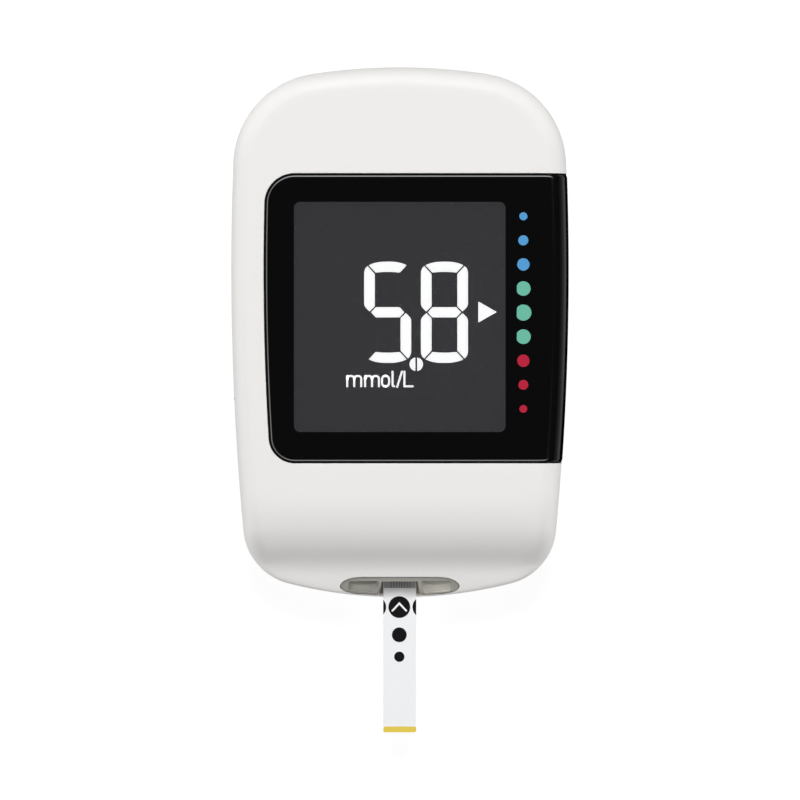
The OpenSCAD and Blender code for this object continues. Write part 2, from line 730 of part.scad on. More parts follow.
board_x = side_x(lens_bottom) - cavity_right - 0.25;
board_y0 = connector_y0 + 6;
board_y1 = half_l - 4.4;
module main_board() {
    color("darkgreen") translate([0, 0, board_z]) linear_extrude(board_t) difference() {
        intersection() {
            translate([board_left, board_y0])
                square([board_x - board_left, board_y1 - board_y0]);
            polygon(ring(wall + 0.35));
        }
        for (p = CASE_SCREWS) translate([p.x, p.y]) circle(boss_r + 0.2);
        for (p = BOARD_SCREWS) translate([p.x, p.y]) circle(board_screw_r + 0.1);
        // the upper corners follow the body's rounding
        for (s = [-1, 1]) translate([s * (board_x + 1), board_y1 + 1])
            rotate(45) square(11, center = true);
    }
}

// chips under the board stand in a group right of the connector, those above it in a row
// between the display and the upper screws
chip_t = 0.9;
mcu_w = 7;
mcu_at = [half_w - 13.5, bay_y0 - bay_wall - 12.45];
memory_w = 4;
memory_l = 5;
radio_w = 5;
row_y = holder_y1 + 5.1;
radio_at = [-8.5, row_y];
antenna_w = 2;
antenna_l = 5;
antenna_at = [board_left + 6.9, TOP_SCREW.y - boss_r - 1.35 - antenna_l / 2];
crystal_w = 3.2;
crystal_l = 1.5;
buzzer_r = 4.2;
buzzer_t = 1.6;
capacitor_w = 0.8;
capacitor_l = 1.6;
capacitor_t = 0.6;
capacitor_pitch = 2;
board_top = board_z + board_t;
module chip(at, w, l, z, t) { block([at.x - w / 2, at.y - l / 2, z], [at.x + w / 2, at.y + l / 2, z + t]); }
module under_board(at, w, l, t) { chip(at, w, l, board_z - t - HAIR, t); }
module on_board(at, w, l, t) { chip(at, w, l, board_top + HAIR, t); }
module microcontroller() { color("black") under_board(mcu_at, mcu_w, mcu_w, chip_t); }
module memory_chip() {
    color("black") under_board(mcu_at + [2.5, -(mcu_w + memory_l) / 2 - 3.4], memory_w, memory_l, chip_t);
}
module radio_chip() { color("black") on_board(radio_at, radio_w, radio_w, chip_t); }
module antenna() { color("white") on_board(antenna_at, antenna_w, antenna_l, 1.1); }
module crystal() {
    color("silver") on_board(radio_at + [radio_w + 2, 0], crystal_w, crystal_l, 0.8);
}
module buzzer() {
    color("dimgray") translate([TOP_SCREW.x - boss_r - buzzer_r - 0.4, row_y + 0.6, board_top + HAIR])
        difference() {
            cylinder(r = buzzer_r, h = buzzer_t);
            translate([0, 0, 0.75 * buzzer_t]) cylinder(r = 0.8, h = buzzer_t);
        }
}
module chip_capacitors() {
    color("tan") {
        for (i = [0:4])
            under_board(mcu_at + [-mcu_w / 2 - 2.9, i * 1.3 * capacitor_pitch - 9],
                        capacitor_l, capacitor_w, capacitor_t);
        for (i = [0:3])
            on_board(radio_at + [4.5 - i * capacitor_pitch, radio_w / 2 + 1.5],
                     capacitor_w, capacitor_l, capacitor_t);
    }
}

module side_switch(i) {
    z = board_z + board_t + HAIR;
    color("silver") difference() {
        block([switch_x1(i) - switch_d, button_y(i) - switch_l / 2, z],
              [switch_x1(i), button_y(i) + switch_l / 2, z + switch_h - HAIR]);
        translate([switch_x1(i) - switch_d + 1, button_y(i), plunger_z]) rotate([0, 90, 0])
            cylinder(r = plunger_r + plunger_fit, h = 10);
    }
}
module side_plunger(i) {
    x = switch_x1(i) - switch_d + 1.2 + button_travel;
    color("dimgray") translate([x, button_y(i), plunger_z]) rotate([0, 90, 0])
        cylinder(r = plunger_r, h = button_flange_x(i) - x - HAIR);
}
module side_button(i) {
    color([0.05, 0.05, 0.05]) union() {
        pill(button_y(i), button_flange_x(i), button_face_x(i) - 0.3, 0);
        // face with a bevelled rim
        for (k = [0:3]) pill(button_y(i), button_face_x(i) - 0.31,
                             button_face_x(i) - 0.3 + 0.1 * k, -0.06 * pow(k, 1.5));
        pill(button_y(i), button_flange_x(i), button_flange_x(i) + flange_t, flange_rim);
        translate([button_flange_x(i), button_y(i), plunger_z]) rotate([0, 90, 0])
            cylinder(r = plunger_r + 0.2, h = flange_t);
    }
}
module upper_switch() { side_switch(0); }
module middle_switch() { side_switch(1); }
module lower_switch() { side_switch(2); }
module upper_plunger() { side_plunger(0); }
module middle_plunger() { side_plunger(1); }
module lower_plunger() { side_plunger(2); }
module upper_button() { side_button(0); }
module middle_button() { side_button(1); }
module lower_button() { side_button(2); }

module coin_cell(s) {
    rim = 0.35;                                // the crimped edge slopes in by this
    color("silver") translate([s * cell_pitch / 2, cell_y, cell_z])
        rotate_extrude() polygon([[0, 0], [cell_r, 0], [cell_r, cell_t - rim],
                                  [cell_r - 2 * rim, cell_t], [0, cell_t]]);
}
module left_cell() { coin_cell(-1); }
module right_cell() { coin_cell(1); }
module negative_contacts() {
    color("gold") for (s = [-1, 1]) {
        x0 = s * cell_pitch / 2 - contact_w / 2;
        x1 = x0 + contact_w;
        y1 = cell_y + contact_leg_y;
        z = cell_z + cell_t + HAIR;
        block([x0, cell_y - 4, z], [x1, y1, z + contact_t]);
        block([x0, y1 - contact_t, z], [x1, y1, board_z - HAIR]);
    }
}
module positive_contacts() {
    color("gold") for (s = [-1, 1]) {
        x0 = s * cell_pitch / 2 - contact_w / 2;
        x1 = x0 + contact_w;
        z = cell_z + 0.5;
        block([x0, bay_y0 - contact_t, z], [x1, bay_y0, board_z - HAIR]);
        block([x0, bay_y0 - contact_t / 2, z], [x1, cell_y - cell_r - HAIR, z + contact_t]);
    }
}

module battery_door() {
    color("ivory") difference() {
        union() {
            rounded_box(-door_x, door_x, door_y0, door_y1,
                        0.05, 0.05 + door_t, 1.4);
            block([-hinge_x, door_y0 + 3, 0.05], [hinge_x, hinge_y, hinge_z]);
            translate([-hinge_x, hinge_y, hinge_z]) rotate([0, 90, 0])
                cylinder(r = bead_r, h = 2 * hinge_x);
            translate([-hinge_x - pin_l, hinge_y, hinge_z]) rotate([0, 90, 0])
                cylinder(r = pin_r, h = 2 * (hinge_x + pin_l));
            // snap tongue
            block([-2.8, door_y0, door_t - 0.1], [2.8, door_y0 + 0.9, door_t + 1]);
            block([-2.8, bay_y0 + 0.05, door_t + 0.45], [2.8, door_y0 + 0.5, door_t + 1]);
        }
        // finger recess
        translate([0, door_y0 + 4.4, -7.6]) sphere(r = 8.3, $fn = 96);
    }
}

module ejector_slider() {
    rail_y0 = pad_y1 - pad_l;
    color("gray") union() {
        // ribbed thumb pad in the side window
        block([-pad_x, rail_y0, pad_z0], [-rail_x + 0.1, pad_y1, pad_z1]);
        for (i = [0:5]) translate([-pad_x, rail_y0 + 1 + i * (pad_l - 2) / 5, pad_z0])
            cylinder(r = 0.3, h = pad_z1 - pad_z0, $fn = 24);
        // rail, cross bar and tongue
        block([-rail_x, rail_y0 - 0.6, pad_z0], [-rail_x + rail_t, pad_y1 + 0.6, pad_z1]);
        block([-rail_x, bar_y0, pad_z1 - 0.5], [-rail_x + rail_t, bar_y1, strip_z + strip_t]);
        block([-rail_x, bar_y0, strip_z - 0.35], [tongue_w / 2, bar_y1, strip_z + strip_t]);
        block([-tongue_w / 2, strip_inner + HAIR, strip_z],
              [tongue_w / 2, bar_y1, strip_z + tongue_t]);
    }
}

module strip_connector() {
    color("dimgray") difference() {
        block([-connector_x, connector_y0, connector_z],
              [connector_x, connector_y1, board_z - HAIR]);
        block([-channel_w, connector_y0 - 1, channel_z0],
              [channel_w, connector_y1 + 1, channel_z1]);
        // contact chamber, and room for the ejector's cross bar
        block([-channel_w, connector_y0 + 3, channel_z1 - 0.1],
              [channel_w, connector_y1 - 3, board_z + 1]);
        block([-connector_x - 1, bar_y0 - eject_travel - 0.4, strip_z - 0.6],
              [channel_w + 1, connector_y1 + 1, channel_z1]);
    }
}
module strip_contacts() {
    color("gold") for (i = [0:contact_count - 1]) {
        x = (i - (contact_count - 1) / 2) * contact_pitch;
        block([x - 0.12, connector_y0 + 3.6, channel_z1 + 0.3],
              [x + 0.12, connector_y1 - 3.4, channel_z1 + 0.42]);
        block([x - 0.12, connector_y0 + 4.6, channel_z1 - 0.04],
              [x + 0.12, connector_y0 + 5, channel_z1 + 0.42]);
    }
}

module port_insert() {
    y1 = port_y + port_ry + port_depth - 0.1;
    flare = 0.9;
    color([0.6, 0.59, 0.55]) difference() {
        intersection() {
            port_space(0.06, y1);
            insert_top();
        }
        block([-channel_w, -half_l - 1, channel_z0], [channel_w, y1 + 1, channel_z1]);
        // flared channel in front of the slot's upper lip
        translate([0, 0, channel_z0]) linear_extrude(6)
            polygon([[-channel_w, lip_y], [channel_w, lip_y],
                     [channel_w + flare, -half_l - 0.1], [-channel_w - flare, -half_l - 0.1]]);
        // room for the connector
        block([-connector_x - 0.1, connector_y0 - 0.1, connector_z - 0.1],
              [connector_x + 0.1, y1 + 1, board_z + 1]);
        // scoops beside the channel
        for (s = [-1, 1]) translate([s * scoop_x, -half_l + 0.2, strip_z + 0.5 + scoop_r])
            sphere(r = scoop_r, $fn = 96);
    }
}
// The insert follows the rounded edge of the strip end, a little sunk below it
module insert_top() {
    inset = 0.12;
    sunk = 0.3;
    edge = [for (i = [0:8]) let (f = full(90 * i / 8))
        [bottom_r - inset - (edge_front - inset) * (1 - f.x),
         seam_z + (lip_z - sunk - seam_z) * f.y]];
    translate([bottom_c.x, bottom_c.y, 0]) rotate([0, 0, -100])
        rotate_extrude(angle = 20, $fn = 360)
        polygon(concat([[bottom_r - 8, 0], [bottom_r - inset, 0]], edge,
                       [[bottom_r - 8, lip_z - sunk]]));
}

module test_strip() {
    color("white") block([-strip_w / 2, strip_end, strip_z],
                         [strip_w / 2, strip_inner, strip_z + strip_t]);
}

usb_w = 7.5;
usb_h = 2.5;
usb_l = 5.6;
usb_y1 = half_l - 0.5;
usb_z = board_z - usb_h - HAIR;
module usb_space(g) {
    rounded_box(-usb_w / 2 - g, usb_w / 2 + g, usb_y1 - usb_l - g, half_l + 1,
                usb_z - g, board_z - HAIR + g, 0.3);
}
module usb_shell() {
    t = 0.3;
    color("silver") difference() {
        block([-usb_w / 2, usb_y1 - usb_l, usb_z], [usb_w / 2, usb_y1, board_z - HAIR]);
        block([-usb_w / 2 + t, usb_y1 - usb_l + t, usb_z + t],
              [usb_w / 2 - t, usb_y1 + 1, board_z - HAIR - t]);
    }
}
module usb_tongue() {
    color("black") block([-usb_w / 2 + 1.6, usb_y1 - usb_l + 0.32, usb_z + 1.2],
                         [usb_w / 2 - 1.6, usb_y1 - 1, usb_z + 1.8]);
}

// A pan-head screw that points up, its head starting at z
module screw(z, top, r, head_r, head_h, slot) {
    difference() {
        union() {
            translate([0, 0, z]) cylinder(r = head_r, h = head_h);
            cylinder_between(z + head_h / 2, top, r);
        }
        for (a = [0, 90]) rotate(a)
            translate([-head_r * 0.6, -slot / 2, z - 1]) cube([head_r * 1.2, slot, 1.5]);
    }
}
module cylinder_between(z0, z1, r) { translate([0, 0, z0]) cylinder(r = r, h = z1 - z0); }

module case_screws() {
    color("silver") at_each(CASE_SCREWS)
        screw(head_z, screw_top, screw_r, screw_head_r, head_t - HAIR, 0.45);
}
module board_screws() {
    color("silver") at_each(BOARD_SCREWS)
        screw(board_z - board_head_t - HAIR, board_z + 3, board_screw_r, board_head_r,
              board_head_t, 0.3);
}

front_cover();
rear_cover();
lens_frame();
window_pane();
lens_tape();
range_dots();
front_polariser();
lcd_front_glass();
lcd_segments();
lcd_rear_glass();
rear_polariser();
lcd_holder();
light_guide();
backlight_leds();
zebra_strip();
main_board();
microcontroller();
memory_chip();
radio_chip();
antenna();
crystal();
buzzer();
chip_capacitors();
upper_switch();
middle_switch();
lower_switch();
upper_plunger();
middle_plunger();
lower_plunger();
upper_button();
middle_button();
lower_button();
left_cell();
right_cell();
negative_contacts();
positive_contacts();
battery_door();
ejector_slider();
strip_connector();
strip_contacts();
port_insert();
test_strip();
usb_shell();
usb_tongue();
case_screws();
board_screws();
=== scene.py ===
"""Finishes and modelled pieces of a blood glucose meter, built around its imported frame.

A piece is modelled in millimetres, and finish_piece turns it into metres.
"""

import logging
from dataclasses import dataclass
from enum import Enum
from math import asin, atan2, copysign, cos, degrees, hypot, pi, radians, sin, sqrt, tan

import bmesh
import bpy
from mathutils import Matrix, Vector


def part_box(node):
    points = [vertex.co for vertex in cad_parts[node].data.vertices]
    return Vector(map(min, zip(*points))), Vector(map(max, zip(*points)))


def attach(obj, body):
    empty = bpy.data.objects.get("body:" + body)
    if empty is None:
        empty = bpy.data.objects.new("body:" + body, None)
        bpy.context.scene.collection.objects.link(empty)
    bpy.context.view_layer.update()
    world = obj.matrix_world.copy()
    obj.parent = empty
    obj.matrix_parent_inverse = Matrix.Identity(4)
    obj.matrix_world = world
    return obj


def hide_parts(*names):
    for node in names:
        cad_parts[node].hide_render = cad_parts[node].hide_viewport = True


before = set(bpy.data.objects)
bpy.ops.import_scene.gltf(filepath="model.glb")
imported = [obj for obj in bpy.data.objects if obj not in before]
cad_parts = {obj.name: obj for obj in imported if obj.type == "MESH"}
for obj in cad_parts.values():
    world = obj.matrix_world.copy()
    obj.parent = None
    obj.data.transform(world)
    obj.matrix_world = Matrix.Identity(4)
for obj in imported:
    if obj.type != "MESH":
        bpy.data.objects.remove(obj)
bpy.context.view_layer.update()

LOG = logging.getLogger("meter")
MM = 0.001
Object = bpy.types.Object
Material = bpy.types.Material
Node = bpy.types.Node
Socket = bpy.types.NodeSocket
Point = tuple[float, float]
Place = tuple[float, float, float]
Colour = tuple[float, float, float]
Ring = list[Vector]
Plan = list[Point]

LIP_SLOPE = 0.364          # rise of the face over the strip end's lip, per millimetre along Y
PIXEL_PITCH = 0.1453       # millimetres of the object per unit of the display's drawing grid


# ---- the bench: modelling helpers


def clear_selection() -> None:
    """Deselects everything, so that the next operator acts on one piece alone."""
    for item in list(bpy.context.selected_objects):
        item.select_set(False)


def pick(obj: Object) -> Object:
    """Makes obj the one selected and active object."""
    clear_selection()
    obj.select_set(True)
    bpy.context.view_layer.objects.active = obj
    return obj


def cad_box(node: str) -> tuple[Vector, Vector]:
    """Lowest and highest corner of a CAD node, in millimetres."""
    low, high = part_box(node)
    return low / MM, high / MM


def spaced(first: float, last: float, steps: int) -> list[float]:
    """steps + 1 values from first to last."""
    return [first + (last - first) * i / steps for i in range(steps + 1)]


def lift(plan: Plan, z: float) -> Ring:
    """A flat outline as a ring at height z."""
    return [Vector((x, y, z)) for x, y in plan]


def arc(centre: Point, radius: float, first: float, last: float, steps: int) -> Plan:
    """Points along an arc.

    Args:
        centre: Middle of the arc.
        radius: Its radius.
        first: First angle, in degrees.
        last: Last angle, in degrees.
        steps: Number of steps between them.

    Returns:
        The steps + 1 points.
    """
    return [(centre[0] + radius * cos(radians(a)), centre[1] + radius * sin(radians(a)))
            for a in spaced(first, last, steps)]


def rounded_rectangle(x0: float, x1: float, y0: float, y1: float, radius: float, steps: int = 8) -> Plan:
    """Outline of a rectangle with round corners.

    Args:
        x0: Left side.
        x1: Right side.
        y0: Lower side.
        y1: Upper side.
        radius: Radius of its corners.
        steps: Steps round a corner.

    Returns:
        The outline, anticlockwise.
    """
    return (arc((x1 - radius, y0 + radius), radius, -90, 0, steps)
            + arc((x1 - radius, y1 - radius), radius, 0, 90, steps)
            + arc((x0 + radius, y1 - radius), radius, 90, 180, steps)
            + arc((x0 + radius, y0 + radius), radius, 180, 270, steps))


def loft(name: str, sections: list[Ring], hollow: bool = False) -> Object:
    """Extrudes a circle from section to section, as a skin over them.

    Args:
        name: Name of the new object.
        sections: Rings with the same number of points.
        hollow: True to join the last section to the first, False to close both ends.

    Returns:
        The closed mesh, in millimetres.
    """
    clear_selection()
    bpy.ops.mesh.primitive_circle_add(
        vertices=len(sections[0]), radius=1, fill_type="NOTHING" if hollow else "NGON")
    obj = bpy.context.active_object
    obj.name = obj.data.name = name
    bpy.ops.object.mode_set(mode="EDIT")
    mesh = bmesh.from_edit_mesh(obj.data)
    order = mesh.verts.layers.int.new("order")
    for index, vertex in enumerate(mesh.verts):
        vertex[order] = index
        vertex.co = sections[0][index]
    bmesh.update_edit_mesh(obj.data)
    for section in sections[1:]:
        bpy.ops.mesh.extrude_region_move()
        mesh = bmesh.from_edit_mesh(obj.data)
        order = mesh.verts.layers.int["order"]
        for vertex in mesh.verts:
            if vertex.select:
                vertex.co = section[vertex[order]]
        bmesh.update_edit_mesh(obj.data)
    if hollow:
        bpy.ops.mesh.select_all(action="DESELECT")
        bpy.ops.mesh.select_non_manifold(extend=False)
        bpy.ops.mesh.bridge_edge_loops()
    bpy.ops.mesh.select_all(action="SELECT")
    bpy.ops.mesh.remove_doubles(threshold=0.0005)
    bpy.ops.mesh.normals_make_consistent(inside=False)
    bpy.ops.object.mode_set(mode="OBJECT")
    obj.data.attributes.remove(obj.data.attributes["order"])
    return obj


def prism(name: str, plan: Plan, z0: float, z1: float) -> Object:
    """An upright solid over a flat outline."""
    return loft(name, [lift(plan, z0), lift(plan, z1)])


def settled(name: str) -> Object:
    """Names the new primitive and puts its place and size into its mesh."""
    bpy.ops.object.transform_apply(location=True, rotation=True, scale=True)
    obj = bpy.context.active_object
    obj.name = obj.data.name = name
    return obj


def box(name: str, low: Place, high: Place) -> Object:
    """A block given by its lowest and highest corners."""
    clear_selection()
    a, b = Vector(low), Vector(high)
    bpy.ops.mesh.primitive_cube_add(size=1, location=(a + b) / 2, scale=b - a)
    return settled(name)


def rod(name: str, centre: Point, radius: float, z0: float, z1: float,
        sides: int = 48) -> Object:
    """An upright cylinder.

    Args:
        name: Its name.
        centre: Its place from above.
        radius: Its radius.
        z0: Its lower end.
        z1: Its upper end.
        sides: Number of its sides.

    Returns:
        The cylinder.
    """
    clear_selection()
    bpy.ops.mesh.primitive_cylinder_add(
        vertices=sides, radius=radius, depth=z1 - z0, location=(*centre, (z0 + z1) / 2))
    return settled(name)


def ball(name: str, radius: float, sides: int = 64) -> Object:
    """A sphere about the origin."""
    clear_selection()
    bpy.ops.mesh.primitive_uv_sphere_add(segments=sides, ring_count=sides // 2, radius=radius)
    return settled(name)


def turned(obj: Object, matrix: Matrix) -> Object:
    """Moves a piece's mesh by a matrix."""
    obj.data.transform(matrix)
    return obj


def apply_modifier(obj: Object, kind: str, **settings: object) -> Object:
    """Adds a modifier and applies it.

    Args:
        obj: The piece.
        kind: The modifier's type.
        settings: The modifier's settings.

    Returns:
        The piece.
    """
    pick(obj)
    modifier = obj.modifiers.new(kind.lower(), kind)
    for key, value in settings.items():
        setattr(modifier, key, value)
    bpy.ops.object.modifier_apply(modifier=modifier.name)
    return obj


def carve(target: Object, tools: list[Object], operation: str = "DIFFERENCE") -> Object:
    """Cuts tools out of target, adds them to it or keeps what they share, and clears them away.

    Args:
        target: The piece that is worked on.
        tools: The solids that work on it.
        operation: DIFFERENCE, UNION or INTERSECT.

    Returns:
        The target.
    """
    group = bpy.data.collections.new("tools")
    bpy.context.scene.collection.children.link(group)
    for tool in tools:
        for holder in list(tool.users_collection):
            holder.objects.unlink(tool)
        group.objects.link(tool)
    apply_modifier(target, "BOOLEAN", operand_type="COLLECTION", collection=group,
                   operation=operation, solver="EXACT")
    for tool in tools:
        bpy.data.meshes.remove(tool.data)
    bpy.data.collections.remove(group)
    return target


def joined(name: str, parts: list[Object]) -> Object:
    """Makes several pieces one object.

    Args:
        name: Name of the object.
        parts: The pieces.

    Returns:
        The object.
    """
    clear_selection()
    for part in parts:
        part.select_set(True)
    bpy.context.view_layer.objects.active = parts[0]
    if len(parts) > 1:
        bpy.ops.object.join()
    parts[0].name = parts[0].data.name = name
    return parts[0]


def tidy(obj: Object, flat: float = 0.0) -> Object:
    """Merges doubled points and, with flat above zero, the faces within that angle of each other.

    Args:
        obj: The piece.
        flat: Angle in degrees under which neighbouring faces become one.

    Returns:
        The piece.
    """
    pick(obj)
    bpy.ops.object.mode_set(mode="EDIT")
    bpy.ops.mesh.select_all(action="SELECT")
    bpy.ops.mesh.remove_doubles(threshold=0.001)
    if flat > 0:
        bpy.ops.mesh.dissolve_limited(angle_limit=radians(flat))
    bpy.ops.object.mode_set(mode="OBJECT")
    return obj


def cad_copy(node: str, name: str) -> Object:
    """A copy of a CAD node's mesh in millimetres, with its doubled points merged.

    Args:
        node: The CAD node.
        name: Name of the copy.

    Returns:
        The copy.
    """
    clear_selection()
    obj = bpy.data.objects.new(name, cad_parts[node].data.copy())
    obj.data.name = name
    obj.data.materials.clear()
    bpy.context.scene.collection.objects.link(obj)
    obj.data.transform(Matrix.Scale(1 / MM, 4))
    if obj.data.has_custom_normals:
        pick(obj)
        bpy.ops.mesh.customdata_custom_splitnormals_clear()
    return tidy(obj, flat=0.5)


def soften(obj: Object, width: float, angle: float = 35, segments: int = 3) -> Object:
    """Rounds a piece's sharp edges.

    Args:
        obj: The piece.
        width: Width of the rounding, in millimetres.
        angle: Edges sharper than this, in degrees, are rounded.
        segments: Faces across the rounding.

    Returns:
        The piece.
    """
    return apply_modifier(obj, "BEVEL", width=width, segments=segments, limit_method="ANGLE",
                          angle_limit=radians(angle), use_clamp_overlap=True,
                          miter_outer="MITER_ARC", loop_slide=False)


class Body(Enum):
    """The bodies that pieces ride on."""

    CASE = "case"
    EJECTOR = "ejector"
    STRIP = "strip"
    DOOR = "door"
    UPPER_KEY = "upper_key"
    MIDDLE_KEY = "middle_key"
    LOWER_KEY = "lower_key"


def finish_piece(obj: Object, finish: "Finish", body: Body = Body.CASE,
                 replaces: tuple[str, ...] = (), angle: float = 32, weighted: bool = True) -> Object:
    """Dresses a modelled piece, turns it into metres and puts it on its body.

    Args:
        obj: The piece, in millimetres.
        finish: Its finish.
        body: The body that it rides on.
        replaces: The CAD nodes that it stands for.
        angle: Edges sharper than this, in degrees, stay sharp.
        weighted: True to let the larger faces set the normals.

    Returns:
        The finished piece.
    """
    pick(obj)
    bpy.ops.object.shade_smooth_by_angle(angle=radians(angle))
    if weighted:
        apply_modifier(obj, "WEIGHTED_NORMAL", mode="FACE_AREA_WITH_ANGLE", keep_sharp=True)
    obj.data.transform(Matrix.Scale(MM, 4))
    obj.data.materials.clear()
    obj.data.materials.append(finish.build())
    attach(obj, body.value)
    if replaces:
        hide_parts(*replaces)
    LOG.info("%s: %d faces, on %s", obj.name, len(obj.data.polygons), body.value)
    return obj


# ---- finishes


class Nodes:
    """A short hand for wiring a material's or a group's nodes."""

    def __init__(self, tree: bpy.types.NodeTree) -> None:
        """Starts on an empty tree."""
        self.tree = tree
        tree.nodes.clear()

    def add(self, kind: str, inputs: dict[object, object] | None = None,
            **settings: object) -> Node:
        """Adds a node.

        Args:
            kind: The node's type, without the leading ShaderNode.
            inputs: Values or sockets for its inputs, by name or number.
            settings: Properties to set on it.

        Returns:
            The node.
        """
        node = self.tree.nodes.new(kind if kind.startswith("Node") else "ShaderNode" + kind)
        for key, value in settings.items():
            setattr(node, key, value)
        for key, value in (inputs or {}).items():
            if isinstance(value, Socket):
                self.tree.links.new(value, node.inputs[key])
            else:
                node.inputs[key].default_value = value
        return node

    def maths(self, operation: str, a: object, b: object = 0.0, c: object = 0.0) -> Socket:
        """The result of one arithmetic step."""
        return self.add("Math", {0: a, 1: b, 2: c}, operation=operation).outputs[0]

    def vector(self, operation: str, a: object, b: object) -> Socket:
        """The result of one step with two vectors."""
        return self.add("VectorMath", {0: a, 1: b}, operation=operation).outputs[0]

    def scale(self, a: object, factor: object) -> Socket:
        """A vector or a colour times a factor."""
        return self.add("VectorMath", {0: a, "Scale": factor}, operation="SCALE").outputs[0]

    def mix(self, share: Socket, a: object, b: object) -> Socket:
        """The first colour, with this share of the second."""
        return self.add("Mix", {0: share, 6: a, 7: b}, data_type="RGBA").outputs[2]

    def blend(self, share: Socket, a: Node, b: Node) -> Socket:
        """The first shader, with this share of the second."""
        return self.add("MixShader", {0: share, 1: a.outputs[0], 2: b.outputs[0]}).outputs[0]

    def place_in_mm(self) -> Socket:
        """The place on the object, in millimetres."""
        return self.scale(self.add("TexCoord").outputs["Object"], 1 / MM)


def surface_group() -> bpy.types.NodeTree:
    """The node group that gives every finish its grain, tone and handling marks.

    Returns:
        A group that takes a colour and amounts, and puts out a colour, a roughness and a height.
    """
    group = bpy.data.node_groups.get("moulded_surface")
    if group:
        return group
    group = bpy.data.node_groups.new("moulded_surface", "ShaderNodeTree")
    face = group.interface
    face.new_socket("Colour", in_out="INPUT", socket_type="NodeSocketColor")
    for name in ("Tone", "Grains per mm", "Roughness", "Roughness spread"):
        face.new_socket(name, in_out="INPUT", socket_type="NodeSocketFloat")
    face.new_socket("Stretch", in_out="INPUT", socket_type="NodeSocketVector")
    face.new_socket("Colour", in_out="OUTPUT", socket_type="NodeSocketColor")
    face.new_socket("Roughness", in_out="OUTPUT", socket_type="NodeSocketFloat")
    face.new_socket("Height", in_out="OUTPUT", socket_type="NodeSocketFloat")
    wire = Nodes(group)
    given = wire.add("NodeGroupInput")
    in_mm = wire.place_in_mm()
    drawn = wire.vector("MULTIPLY", in_mm, given.outputs["Stretch"])
    grain = wire.add("TexNoise", {"Vector": drawn, "Scale": given.outputs["Grains per mm"], "Detail": 3.0,
                                  "Roughness": 0.6}).outputs[0]
    waves = wire.add("TexNoise", {"Vector": drawn, "Scale": 0.35, "Detail": 2.0}).outputs[0]
    marks = wire.add("TexNoise", {"Vector": in_mm, "Scale": 0.16, "Detail": 5.0,
                                  "Roughness": 0.65}).outputs[0]
    specks = wire.add("TexNoise", {"Vector": in_mm, "Scale": 2.2, "Detail": 4.0,
                                   "Roughness": 0.7}).outputs[0]
    mottle = wire.maths("MULTIPLY_ADD", specks, 0.5, wire.maths("MULTIPLY", marks, 0.5))
    shift = wire.maths("MULTIPLY", wire.maths("SUBTRACT", mottle, 0.5), given.outputs["Tone"])
    bright = wire.maths("ADD", shift, 1.0)
    tinted = wire.scale(given.outputs["Colour"], bright)
    worn = wire.maths("MULTIPLY_ADD", wire.maths("SUBTRACT", marks, 0.5), given.outputs["Roughness spread"],
                      given.outputs["Roughness"])
    height = wire.maths("MULTIPLY_ADD", waves, 3.0, grain)
    wire.add("NodeGroupOutput", {"Colour": tinted, "Roughness": worn, "Height": height})
    return group


